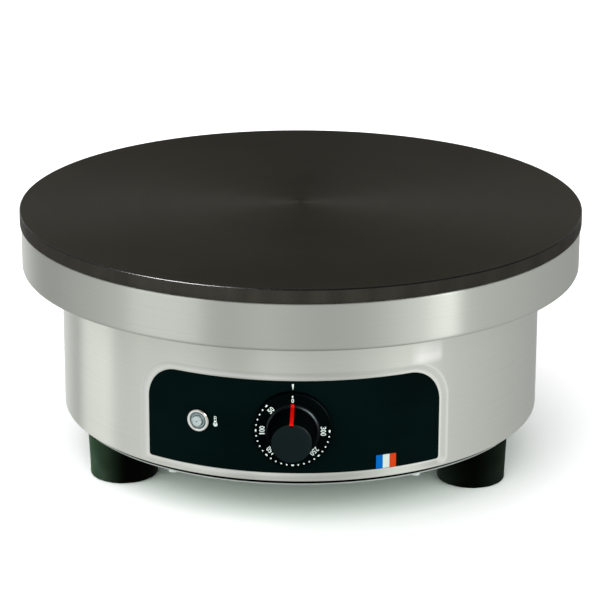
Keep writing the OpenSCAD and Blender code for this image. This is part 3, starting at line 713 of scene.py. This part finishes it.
v, f = [], []
front = overlay_grid(0.14, FACE_R, v)
back = overlay_grid(0.0, PAD_R - 0.05, v)
for rows, turn in ((front, False), (back, True)):
    for a, b in zip(rows, rows[1:]):
        for i in range(len(a) - 1):
            q = (a[i], a[i + 1], b[i + 1], b[i])
            f.append(q[::-1] if turn else q)
edge_rows = overlay_rows(0.0)
n_front, n_back = border(front), border(back)
mid = []
for k in n_back:
    x, y, z = v[k]
    s = (FACE_R - 0.10) / (PAD_R - 0.05)
    mid.append(len(v))
    v.append((x * s, y * s, z))
n = len(n_front)
for i in range(n):
    j = (i + 1) % n
    f.append((n_front[j], n_front[i], mid[i], mid[j]))
    f.append((mid[j], mid[i], n_back[i], n_back[j]))
piece("panel_film_sheet", v, f, MATS["panel_black"],
      stands_for=("panel_overlay",), angle=30)


def wall_grid(u0, u1, z0, z1, r, low, nu, nz, verts, faces, skew=0.0):
    """A thin raised patch on the panel between r and low."""
    grids = []
    for rr in (r, low):
        rows = []
        for j in range(nz + 1):
            z = z0 + (z1 - z0) * j / nz
            row = []
            for i in range(nu + 1):
                row.append(len(verts))
                verts.append(on_wall(u0 + (u1 - u0) * i / nu
                                     + skew * (z - z0), z, rr))
            rows.append(row)
        grids.append(rows)
    for rows, turn in ((grids[0], False), (grids[1], True)):
        for a, b in zip(rows, rows[1:]):
            for i in range(len(a) - 1):
                q = (a[i], a[i + 1], b[i + 1], b[i])
                faces.append(q[::-1] if turn else q)
    p, q = border(grids[0]), border(grids[1])
    for i in range(len(p)):
        j = (i + 1) % len(p)
        faces.append((p[j], p[i], q[i], q[j]))


# three plain colour bands at the panel's lower edge
for name, u0, u1, mat in (("band_blue", 57.2, 62.03, "ink_blue"),
                          ("band_white", 62.03, 66.87, "ink_pale"),
                          ("band_red", 66.87, 71.7, "ink_red")):
    v, f = [], []
    wall_grid(u0, u1, 40.5, 50.2, FACE_R + 0.03, FACE_R - 0.06, 6, 4, v, f)
    piece(name, v, f, MATS[mat])


def from_curve(name, loops, depth, place, mat, body):
    """Closed outlines filled by Blender's curve fill, then put in place.
    Inner outlines are holes."""
    cu = bpy.data.curves.new(name + "_outline", "CURVE")
    cu.dimensions = "2D"
    cu.fill_mode = "BOTH"
    cu.extrude = depth / 2
    for pts in loops:
        sp = cu.splines.new("POLY")
        sp.points.add(len(pts) - 1)
        for q, (x, y) in zip(sp.points, pts):
            q.co = (x, y, 0, 1)
        sp.use_cyclic_u = True
    tmp = bpy.data.objects.new(name + "_tmp", cu)
    COLL.objects.link(tmp)
    bpy.context.view_layer.update()
    dg = bpy.context.evaluated_depsgraph_get()
    me = bpy.data.meshes.new_from_object(tmp.evaluated_get(dg))
    v = [place(p.co.x, p.co.y, p.co.z) for p in me.vertices]
    f = [tuple(p.vertices) for p in me.polygons]
    bpy.data.objects.remove(tmp)
    bpy.data.curves.remove(cu)
    bpy.data.meshes.remove(me)
    return piece(name, v, f, mat, body)


def panel_place(u, z, h):
    return on_wall(u, z, FACE_R + h)


# fixed mark above the dial
from_curve("mark_fixed", [[(-0.68, 103.9), (0.68, 103.9), (0.2, 100.1),
                           (0, 99.9), (-0.2, 100.1)]], 0.08, panel_place,
           MATS["ink_white"], "root")

# thermometer sign beside the lamp
uc, zb, rb, rs = -53.6, 71.55, 1.60, 0.82


def thermometer_tube(low, top, notch_z, notch_r):
    pts = [(uc + rs, low), (uc + rs, top - rs)]
    pts += [(uc + rs * cos(t), top - rs + rs * sin(t))
            for t in steps(15, 165, 10)]
    pts += [(uc - rs, top - rs), (uc - rs, low)]
    a = math.degrees(math.asin((low - notch_z) / notch_r))
    return pts + [(uc + notch_r * cos(t), notch_z + notch_r * sin(t))
                  for t in steps(180 - a, a, 8)]


def dot(u, z, r):
    return [(u + r * cos(t), z + r * sin(t)) for t in steps(0, 340, 17)]


def slot_hole(z, half_w, half_h):
    return [(uc + half_w * math.copysign(abs(cos(t)) ** 0.6, cos(t)),
             z + half_h * math.copysign(abs(sin(t)) ** 0.6, sin(t)))
            for t in steps(0, 340, 17)]


from_curve("sign_lamp_tube", [thermometer_tube(72.85, 77.5, 72.6, 0.55),
                              slot_hole(76.45, 0.60, 0.55),
                              slot_hole(74.75, 0.60, 0.75)],
           0.08, panel_place, MATS["ink_white"], "root")
from_curve("sign_lamp_bulb", [dot(uc, zb, rb), dot(uc, 72.6, 0.55)], 0.07,
           panel_place, MATS["ink_pale"], "root")

# --------------------------------------------------------------------- lamp

v, f = turned(
    [(5.12, -0.2), (8.0, -0.2), (8.0, 0.6), (8.0, 1.2)]
    + arc(6.8, 1.4, 1.2, 0, 85, 12)
    + [(6.5, 2.58), (6.1, 2.45), (5.65, 2.05), (5.3, 1.4), (5.12, 0.9)],
    120, at_lamp, loop=True)
ob = piece("bezel_lamp", v, f, MATS["chrome"],
           stands_for=("lamp_bezel",), angle=40)
# the bezel's outer rounding is darker and yellower than the rest
ob.data.materials.append(MATS["chrome_edge"])
for p in ob.data.polygons[:120 * 13]:
    p.material_index = 1
v, f = turned(
    [(3.95, 0.1), (5.08, 0.1), (5.08, 1.7)]
    + arc(4.75, 1.7, 0.3, 0, 90, 5)
    + [(4.2, 2.01), (4.02, 1.95), (3.95, 1.8)],
    96, at_lamp, loop=True)
piece("lens_ring", v, f, MATS["lens_rim"], angle=40)
# a near-black ring fills the bottom of the gap between the lens and its rim:
# painted shade
v, f = turned([(3.6, 0.1), (3.94, 0.1), (3.94, 1.0), (3.6, 1.0)], 96,
              at_lamp, loop=True)
piece("lens_groove", v, f, MATS["painted_shade_dark"], angle=40)
v, f = turned(
    [(0, 3.75), (0.42, 3.75), (0.50, 4.06), (0.72, 4.16), (2.2, 4.10)]
    + arc(2.95, 3.45, 0.62, 80, 0, 8)
    + [(3.60, 2.2), (3.62, 0.2), (0, 0.2)],
    96, at_lamp)
ob = piece("lens_lamp", v, f, MATS["lens_clear"],
           stands_for=("lamp_lens",), angle=40)
# the dimple left by the mould's gate is painted near black: painted shade in
# the hollow
ob.data.materials.append(MATS["painted_shade_dark"])
for p in ob.data.polygons[:96]:
    p.material_index = 1

# --------------------------------------------------------------------- knob

grip_r0, grip_r1 = 16.5, 13.9
knob_out = ([(26.05, 0.0), (26.3, 0.3), (26.3, 2.5)]
            + arc(25.75, DIAL_H - 0.55, 0.55, 0, 90, 8)
            + [(24.0, DIAL_H), (21.0, DIAL_H)]
            + arc(grip_r0 + 2, DIAL_H + 2, 2, 270, 180, 12)
            + [(grip_r0 + (grip_r1 - grip_r0) * t,
                DIAL_H + 2 + (KNOB_L - DIAL_H - 3) * t)
               for t in (0.25, 0.5, 0.75)]
            + arc(grip_r1 - 1.1, KNOB_L - 1.1, 1.1, 6, 90, 10))
knob_in = [(8, KNOB_L), (3, KNOB_L), (0, KNOB_L)]
knob_back = [(0, KNOB_L - 3), (10.9, KNOB_L - 3), (14.1, DIAL_H - 1.6),
             (24.7, DIAL_H - 2), (24.7, 0.3), (24.9, 0.0)]
v, f = turned(knob_back + knob_out + knob_in, 192, at_knob)
ob = piece("knob_shell", v, f, MATS["knob_black"], "knob",
           angle=45, stands_for=("control_knob",))
# the cap's end is matt and paler than the body, whose darker black is painted
# shade; the foot of the grip is made glossier by wiping, and the rounded edges
# of the cap and the dial are worn dull
ob.data.materials.append(MATS["knob_cap"])
ob.data.materials.append(MATS["knob_edge"])
ob.data.materials.append(MATS["knob_fillet"])
for p in ob.data.polygons:
    at = [ob.data.vertices[i].co / MM for i in p.vertices]
    depth = min(-q.y for q in at)
    reach = min(math.hypot(q.x, q.z - KNOB_Z) for q in at)
    if depth > KNOB_FRONT - 0.12:
        p.material_index = 1
    elif depth > KNOB_FRONT - 1.3 or reach > 25.6:
        p.material_index = 2
    elif (depth > KNOB_BACK + DIAL_H - 0.01 and 15.9 < reach < 18.48
          and max(-q.y for q in at) > KNOB_BACK + DIAL_H + 0.001):
        p.material_index = 3


def hub():
    return turned([(3.7, 1.2), (6, 1.2), (6, KNOB_L - 2.8),
                   (3.7, KNOB_L - 2.8)], 48, at_knob, loop=True)


v, f = hub()
piece("knob_hub", v, f, MATS["knob_black"], "knob")

# red insert: a bar that runs up the grip and over its front edge
path = [(18.75, DIAL_H), (18.6, DIAL_H)]
path += arc(grip_r0 + 2, DIAL_H + 2, 2, 265, 180, 9)
path += [(grip_r0 + (grip_r1 - grip_r0) * t,
          DIAL_H + 2 + (KNOB_L - DIAL_H - 3) * t)
         for t in steps(0.08, 0.92, 9)]
path += arc(grip_r1 - 1.1, KNOB_L - 1.1, 1.1, 6, 90, 8)
path += [(12.7, KNOB_L)] + [(13.0 - 1.35 * sin(t), KNOB_L)
                            for t in steps(20, 88, 9)]
v, f, rows = [], [], []
for i, (r, h) in enumerate(path):
    a, b = path[max(i - 1, 0)], path[min(i + 1, len(path) - 1)]
    t = Vector((b[0] - a[0], b[1] - a[1])).normalized()
    nrm = Vector((t.y, -t.x))            # away from the knob's body
    if nrm.dot(Vector((1, 0.9))) < 0:
        nrm = -nrm
    w = 1.30 - 0.20 * min(max((r - 13.5) / 5.0, 0), 1)
    if h > KNOB_L - 1e-6 and r < 13.0:
        w = math.sqrt(max(1.35 ** 2 - (13.0 - r) ** 2, 0.0016))
    edge = min(0.22, w * 0.5)
    row = []
    for du, dn in ((-w, -0.7), (-w, 0.0), (-w + edge * 0.3, 0.12),
                   (-w + edge, 0.16), (-w * 0.4, 0.2), (0, 0.21),
                   (w * 0.4, 0.2), (w - edge, 0.16), (w - edge * 0.3, 0.12),
                   (w, 0.0), (w, -0.7)):
        rr, hh = r + nrm.x * dn, h + nrm.y * dn
        hh = min(hh, KNOB_L)
        row.append(len(v))
        v.append(at_knob(du, rr, hh))
    rows.append(row)
for a, b in zip(rows, rows[1:]):
    for i in range(len(a)):
        j = (i + 1) % len(a)
        f.append((a[i], a[j], b[j], b[i]))
f.append(tuple(rows[0]))
f.append(tuple(reversed(rows[-1])))
piece("knob_insert", v, f, MATS["pointer_red"], "knob",
      angle=50, stands_for=("knob_pointer",))


# dial scale: a dot every 10, a longer mark every 50
def dial_place(x, y, h):
    return at_knob(x, y, DIAL_H + h)


v, f = [], []


def plate_on_dial(pts, verts, faces, lift=0.04, low=-0.05):
    top = [len(verts) + i for i in range(len(pts))]
    verts.extend(dial_place(x, y, lift) for x, y in pts)
    bot = [len(verts) + i for i in range(len(pts))]
    verts.extend(dial_place(x, y, low) for x, y in pts)
    faces.append(tuple(top))
    faces.append(tuple(reversed(bot)))
    for i in range(len(pts)):
        j = (i + 1) % len(pts)
        faces.append((top[j], top[i], bot[i], bot[j]))


for k in range(26):
    a = 45 + 9 * k
    big = k % 5 == 0
    rad, half_t, half_r = (24.6, 0.92, 0.52) if big else (24.6, 0.53, 0.53)
    pts = []
    for t in range(24):
        c, s = cos(15 * t), sin(15 * t)
        n_ = 0.45 if big else 1.0
        px = half_t * math.copysign(abs(c) ** n_, c)
        py = rad + half_r * math.copysign(abs(s) ** n_, s)
        pts.append((px * cos(a) - py * sin(a), px * sin(a) + py * cos(a)))
    plate_on_dial(pts, v, f)
pts = [(0.6 * cos(15 * t), 24.15 + 0.6 * sin(15 * t)) for t in range(24)]
plate_on_dial(pts, v, f)
piece("dial_marks", v, f, MATS["ink_white"], "knob")


def digit_mesh(ch):
    cu = bpy.data.curves.new("digit", "FONT")
    cu.body = ch
    cu.size = 1.0
    cu.offset = 0.014
    cu.extrude = 0.05
    cu.resolution_u = 6
    tmp = bpy.data.objects.new("digit_tmp", cu)
    COLL.objects.link(tmp)
    bpy.context.view_layer.update()
    dg = bpy.context.evaluated_depsgraph_get()
    me = bpy.data.meshes.new_from_object(tmp.evaluated_get(dg))
    vs = [tuple(p.co) for p in me.vertices]
    fs = [tuple(p.vertices) for p in me.polygons]
    bpy.data.objects.remove(tmp)
    bpy.data.curves.remove(cu)
    bpy.data.meshes.remove(me)
    xs, ys = [p[0] for p in vs], [p[1] for p in vs]
    x0, x1, y0, y1 = min(xs), max(xs), min(ys), max(ys)
    vs = [((x - (x0 + x1) / 2) / (x1 - x0), (y - (y0 + y1) / 2) / (y1 - y0), z)
          for x, y, z in vs]
    return vs, fs


DIGITS = {c: digit_mesh(c) for c in "01235"}
v, f = [], []
for text, a, rad, high, wide, pitch in (
        ("0", 0, 21.35, 2.9, 1.7, 2.1), ("50", 45, 20.4, 3.6, 1.85, 2.2),
        ("100", 90, 20.4, 3.6, 1.85, 2.15), ("150", 135, 20.4, 3.6, 1.85, 2.2),
        ("200", 180, 20.4, 3.6, 1.85, 2.2), ("250", 225, 20.4, 3.6, 1.85, 2.2),
        ("300", 270, 20.4, 3.6, 1.85, 2.2)):
    for i, ch in enumerate(text):
        vs, fs = DIGITS[ch]
        off = (i - (len(text) - 1) / 2) * pitch
        w = wide * (0.45 if ch == "1" else 1.0)
        base = len(v)
        for x, y, z in vs:
            px, py = x * w + off, y * high + rad
            v.append(dial_place(px * cos(a) - py * sin(a),
                                px * sin(a) + py * cos(a),
                                0.04 if z > 0 else -0.05))
        f.extend(tuple(base + k for k in face) for face in fs)
piece("dial_numbers", v, f, MATS["ink_white"], "knob")

# --------------------------------------------------------------------- feet

v, f = [], []
for a in (90, 210, 330):
    cx, cy = 141.8 * cos(a), 141.8 * sin(a)
    r0 = 23.65
    turned(
        [(11.0, 18.0), (11.0, 0.6), (11.3, 0.15), (11.9, 0.0)]
        + [(15, 0), (19, 0)]
        + arc(r0 - 1.6, 1.8, 1.8, -90, -4, 9)
        + [(r0 + (24.80 - r0) * t, 1.9 + 27.2 * t)
           for t in (0.12, 0.3, 0.5, 0.7, 0.9)]
        + [(24.79, 29.3), (24.76, 29.7), (24.43, 30.05), (3.3, 30.05),
           (3.3, 18.0)],
        128, at_top, loop=True, verts=v, faces=f, centre=(cx, cy))
piece("feet_rubber", v, f, MATS["rubber_black"],
      stands_for=("rubber_feet",), angle=40)


# -------------------------------------------------------------------- gland

def hex_turned(af, rows_h, bore, place, verts, faces, n=144):
    """A hexagon bar with turned-off corners. rows_h holds (h, limit radius)."""
    rows = []

    def ring(radius_of, h):
        row = []
        for i in range(n):
            a = 360.0 * i / n
            r = radius_of(a)
            row.append(len(verts))
            verts.append(place(r * cos(a), r * sin(a), h))
        rows.append(row)

    def hex_r(a):
        return (af / 2) / cos((a % 60) - 30)

    ring(lambda a: bore, rows_h[0][0])
    for h, lim in rows_h:
        ring(lambda a: min(hex_r(a), lim), h)
    ring(lambda a: bore, rows_h[-1][0])
    join_rings(rows, faces, loop=True)


v, f = [], []
hex_turned(24, [(172.4, 12.1), (172.9, 13.0), (173.5, 13.86), (174.8, 13.86),
                (176.3, 13.86), (176.9, 13.0), (177.4, 12.1)], 6.0, at_gland,
           v, f)
turned([(6, 158), (10, 158), (10, 172.4), (6, 172.4)], 64, at_gland,
       loop=True, verts=v, faces=f)
turned([(6, 177.4), (8.8, 177.4), (8.8, 185), (6, 185)], 64, at_gland,
       loop=True, verts=v, faces=f)
piece("gland_base", v, f, MATS["gland_black"],
      stands_for=("gland_body",), angle=28)
v, f = [], []
hex_turned(24, [(177.6, 12.1), (178.2, 13.0), (178.9, 13.86), (181.5, 13.86),
                (184.5, 13.86), (186.4, 13.86), (187.1, 12.9), (187.5, 12.0),
                (187.6, 11.6)], 8.9, at_gland, v, f)
turned([(4.5, 187.0), (4.5, 196.7), (4.9, 197.0), (6.6, 197.0), (7.4, 196.6)]
       + [(7.9 + 3.6 * math.sin(t * math.pi / 2), 196.0 - 8.4 * t)
          for t in steps(0.02, 1.0, 12)]
       + [(11.5, 187.3), (8.9, 187.0)], 96, at_gland, loop=True, verts=v,
       faces=f)
piece("gland_dome", v, f, MATS["gland_black"],
      stands_for=("gland_dome_nut",), angle=28)
v, f, rows = [], [], []
for r, off, seat in ((10.1, 0.0, True), (11.9, 0.0, True), (12.1, 0.25, True),
                     (12.1, -0.3, False), (11.8, 0.0, False),
                     (10.1, 0.0, False)):
    row = []
    for i in range(96):
        a = 360.0 * i / 96
        x, y = r * cos(a), r * sin(a)
        h = (math.sqrt(DRUM_R ** 2 - x * x) + off) if seat else 172.4 + off
        row.append(len(v))
        v.append(at_gland(x, y, h))
    rows.append(row)
join_rings(rows, f, loop=True)
piece("gland_washer", v, f, MATS["rubber_black"],
      stands_for=("gland_seal",), angle=40)

# -------------------------------------------------------------------- floor

me = bpy.data.meshes.new("floor")
me.from_pydata([(-14, -14, -0.0004), (14, -14, -0.0004), (14, 14, -0.0004),
                (-14, 14, -0.0004)], [], [(0, 1, 2, 3)])
floor = bpy.data.objects.new("floor", me)
COLL.objects.link(floor)
m, nt, sh = new_mat("floor_pale", Specular_IOR_Level=0.0)
cloud = noise(nt, (0.8, 0.8, 0.8), detail=2.0)
nt.links.new(ramp(nt, cloud, [(0.3, (0.80, 0.80, 0.80)),
                              (0.7, (0.82, 0.82, 0.82))]),
             sh.inputs["Base Color"])
sh.inputs["Roughness"].default_value = 0.95
me.materials.append(m)
floor.visible_glossy = False

# ------------------------------------------------------------------- lights

# One weak soft key from the upper left front. The studio itself is the
# world: soft panels at several azimuths for reflections, and for everything
# else a broad low fill from the front with a paler top light.
KEY = Vector((-0.50, -0.45, 0.74)).normalized()
li = bpy.data.lights.new("key", "SUN")
li.energy = 0.10
li.angle = math.radians(40)
key = bpy.data.objects.new("key", li)
COLL.objects.link(key)
key.rotation_euler = KEY.to_track_quat("Z", "Y").to_euler()
key.visible_glossy = False


def strip(name, az0, az1, el0, el1, dist, at, radiance, only):
    """A soft box seen between two azimuths and elevations from a point, for
    the gloss of the named pieces alone."""
    azm, elm = (az0 + az1) / 2, (el0 + el1) / 2
    way = Vector((sin(azm) * cos(elm), -cos(azm) * cos(elm), sin(elm)))
    li = bpy.data.lights.new(name, "AREA")
    li.shape = "RECTANGLE"
    li.size = 2 * dist * math.tan(math.radians((az1 - az0) / 2))
    li.size_y = 2 * dist * math.tan(math.radians((el1 - el0) / 2))
    li.energy = radiance * math.pi * li.size * li.size_y
    ob = bpy.data.objects.new(name, li)
    COLL.objects.link(ob)
    ob.location = Vector(at) * MM + way * dist
    ob.rotation_euler = way.to_track_quat("Z", "Y").to_euler()
    ob.visible_camera = False
    ob.visible_diffuse = False
    group = bpy.data.collections.new(name + "_on")
    for n in only:
        group.objects.link(bpy.data.objects[n])
    ob.light_linking.receiver_collection = group
    return ob


RIM = ("ring_upper",)
strip("box_right", 53, 66.5, 2, 26, 2.2, (90, -140, 150), 1.6, RIM)
strip("box_right_edge", 60, 66.5, 2, 26, 2.2, (90, -140, 150), 1.7, RIM)
strip("box_left", -70, -37, 2, 26, 2.2, (-75, -150, 150), 0.95, RIM)
DRUM = ("shell_drum",)
strip("box_drum_left", -125, -72, -20, 45, 2.2, (-120, -120, 90), 0.14, DRUM)
strip("box_drum_side", -125, -96, -20, 45, 2.2, (-134, -104, 90), 0.60, DRUM)
strip("box_drum_front", -20, 36, -20, 45, 2.2, (0, -170, 90), 0.09, DRUM)
KNOB = ("knob_shell",)
for name, az0, az1, el0, el1, at, radiance in (
        ("box_knob", 46, 82, 10, 48, (14, -176, 85), 900.0),
        ("box_knob_left", -84, -52, -12, 24, (-14, -176, 85), 110.0)):
    ob = strip(name, az0, az1, el0, el1, 0.6, at, radiance, KNOB)
    ob.data.color = (0.85, 1.0, 1.03)
strip("box_plate_edge", -68, -38, 26, 50, 2.0, (-90, -160, 180), 300.0,
      ("griddle",))
strip("box_lamp", 35, 60, 30, 60, 0.8, (-64, -158, 75), 14.0,
      ("bezel_lamp", "lens_lamp"))
# the feet have a sheen on their outer sides
for name, az0, az1, at, radiance in (
        ("box_foot_left", -118, -78, (-123, -71, 15), 2550.0),
        ("box_foot_right", 84, 118, (123, -71, 15), 440.0)):
    ob = strip(name, az0, az1, 0, 30, 1.5, at, radiance, ("feet_rubber",))
    ob.data.color = (0.74, 1.0, 0.80)
    ob.visible_diffuse = True
    ob.visible_glossy = False

world = bpy.data.worlds.new("studio")
bpy.context.scene.world = world
world.use_nodes = True
world.cycles.sampling_method = "NONE"
nt = world.node_tree
nt.nodes.clear()
out = add(nt, "ShaderNodeOutputWorld")
path_info = add(nt, "ShaderNodeLightPath")
tc = add(nt, "ShaderNodeTexCoord")
sep = add(nt, "ShaderNodeSeparateXYZ")
nt.links.new(tc.outputs["Generated"], sep.inputs["Vector"])
az = math_node(nt, "ARCTAN2", sep.outputs["X"],
               math_node(nt, "MULTIPLY", sep.outputs["Y"], -1.0))
az = span(nt, az, 0.0, 1.0, -math.pi, math.pi)
el = math_node(nt, "ARCSINE", sep.outputs["Z"])
el = span(nt, el, 0.0, 1.0, -math.pi / 2, math.pi / 2)


def by_azimuth(stops, top):
    return ramp(nt, az, [((a + 180) / 360.0, (w / top,) * 3)
                         for a, w in stops])


def by_elevation(stops):
    return ramp(nt, el, [((e + 90) / 180.0,
                          (w,) * 3 if isinstance(w, float) else w)
                         for e, w in stops])


WALLS = [(-180, 1.15), (-170, 0.98), (-154, 0.90), (-146, 0.77),
         (-130, 0.48), (-116, 0.51), (-106, 0.585), (-90, 0.71), (-74, 0.87),
         (-64, 0.93), (-50, 0.89), (-40, 0.79), (-34, 0.70), (-26, 0.74),
         (-14, 0.86), (-2, 0.78), (10, 0.72), (22, 0.73), (30, 0.77),
         (38, 0.89), (48, 1.05), (60, 1.16), (66, 1.10), (69, 0.90),
         (92, 0.76), (106, 0.69), (118, 0.62), (142, 0.52), (157, 0.435),
         (165, 0.57), (171, 0.90), (180, 1.15)]
walls = mix_col(nt, 1.0, by_azimuth(WALLS, 1.6),
                by_elevation([(-90, 0.36), (-70, 0.50), (-46, 0.85),
                              (-30, 1.0), (15, 1.0), (50, 0.38),
                              (90, 0.22)]),
                "MULTIPLY")
BOXES = [(-150, 0.0), (-140, 0.8), (-115, 0.8), (-105, 0.0), (-74, 0.0),
         (-60, 0.6), (-44, 0.6), (-34, 0.2), (-28, 0.0), (42, 0.0),
         (50, 0.6), (66, 1.0), (68, 0.0)]
boxes = mix_col(nt, 1.0, by_azimuth(BOXES, 4.0),
                by_elevation([(26, 0.0), (32, 1.0), (66, 1.0), (74, 0.0)]),
                "MULTIPLY")
# light that has already met the floor finds the studio dimmer, so that the
# bright steel doesn't wash out the shadow under it
first = span(nt, path_info.outputs["Diffuse Depth"], 1.0, 0.2)
refl_a = add(nt, "ShaderNodeBackground")
nt.links.new(walls, refl_a.inputs["Color"])
nt.links.new(math_node(nt, "MULTIPLY", first, 1.6), refl_a.inputs["Strength"])
refl_b = add(nt, "ShaderNodeBackground")
nt.links.new(boxes, refl_b.inputs["Color"])
nt.links.new(math_node(nt, "MULTIPLY", first, 4.0), refl_b.inputs["Strength"])
refl = add(nt, "ShaderNodeAddShader")
nt.links.new(refl_a.outputs[0], refl.inputs[0])
nt.links.new(refl_b.outputs[0], refl.inputs[1])

LOW = [(-180, 2.0), (-150, 1.8), (-100, 1.6), (-83, 2.3), (-53, 3.6),
       (-20, 4.7), (0, 4.4), (22, 3.9), (45, 3.5), (67, 2.7), (82, 2.1),
       (97, 1.1), (112, 0.2), (140, 0.1), (157, 0.9), (180, 2.0)]
HIGH = [(-180, 2.3), (-143, 1.6), (-98, 1.4), (-38, 2.6), (-8, 2.8),
        (8, 2.3), (22, 1.0), (45, 0.3), (97, 0.3), (127, 1.2), (157, 2.6),
        (180, 2.3)]
low = mix_col(nt, 1.0, by_azimuth(LOW, 6.0),
              by_elevation([(0, (0.77, 1.0, 0.82)), (25, (0.88, 1.0, 0.90)),
                            (36, (0.98, 1.0, 0.98)), (54, 0.0)]),
              "MULTIPLY")
high = mix_col(nt, 1.0, by_azimuth(HIGH, 6.0),
               by_elevation([(36, 0.0), (54, (1.0, 0.87, 1.0)),
                             (90, (1.0, 0.86, 1.0))]), "MULTIPLY")
fill = add(nt, "ShaderNodeBackground")
nt.links.new(mix_col(nt, 1.0, low, high, "ADD"), fill.inputs["Color"])
fill.inputs["Strength"].default_value = 6.2
seen = add(nt, "ShaderNodeBackground")
seen.inputs["Color"].default_value = (1, 1, 1, 1)
seen.inputs["Strength"].default_value = 1.0
m1 = add(nt, "ShaderNodeMixShader")
nt.links.new(path_info.outputs["Is Glossy Ray"], m1.inputs["Fac"])
nt.links.new(fill.outputs[0], m1.inputs[1])
nt.links.new(refl.outputs[0], m1.inputs[2])
m2 = add(nt, "ShaderNodeMixShader")
nt.links.new(path_info.outputs["Is Camera Ray"], m2.inputs["Fac"])
nt.links.new(m1.outputs[0], m2.inputs[1])
nt.links.new(seen.outputs[0], m2.inputs[2])
nt.links.new(m2.outputs[0], out.inputs["Surface"])

# ------------------------------------------------------------------- camera

AIM = Vector((0, 0, 0.10584))
HALF_PIXEL = 0.00036     # in the plane of AIM
DIST, ELEV, TURN, ROLL = 1.9594, 18.468, 1.63, 0.157
eye = AIM + DIST * Vector((sin(TURN) * cos(ELEV), -cos(TURN) * cos(ELEV),
                           sin(ELEV)))
fwd = (AIM - eye).normalized()
right = fwd.cross(Vector((0, 0, 1))).normalized()
upv = right.cross(fwd)
fwd = (AIM - HALF_PIXEL * right + HALF_PIXEL * upv - eye).normalized()
right = fwd.cross(Vector((0, 0, 1))).normalized()
upv = right.cross(fwd)
rot = Matrix((right, upv, -fwd)).transposed().to_4x4()
cam_data = bpy.data.cameras.new("camera")
cam_data.lens = 162.73
cam_data.sensor_width = 36
cam_data.clip_end = 100
cam = bpy.data.objects.new("camera", cam_data)
COLL.objects.link(cam)
cam.matrix_world = (Matrix.Translation(eye) @ rot
                    @ Matrix.Rotation(math.radians(ROLL), 4, "Z"))
bpy.context.scene.camera = cam

# the dark knob isn't mirrored in the brushed steel
for ob in list(bpy.data.objects):
    if ob.get("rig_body") == "knob":
        ob.visible_glossy = False
bpy.context.scene.view_settings.view_transform = "Standard"
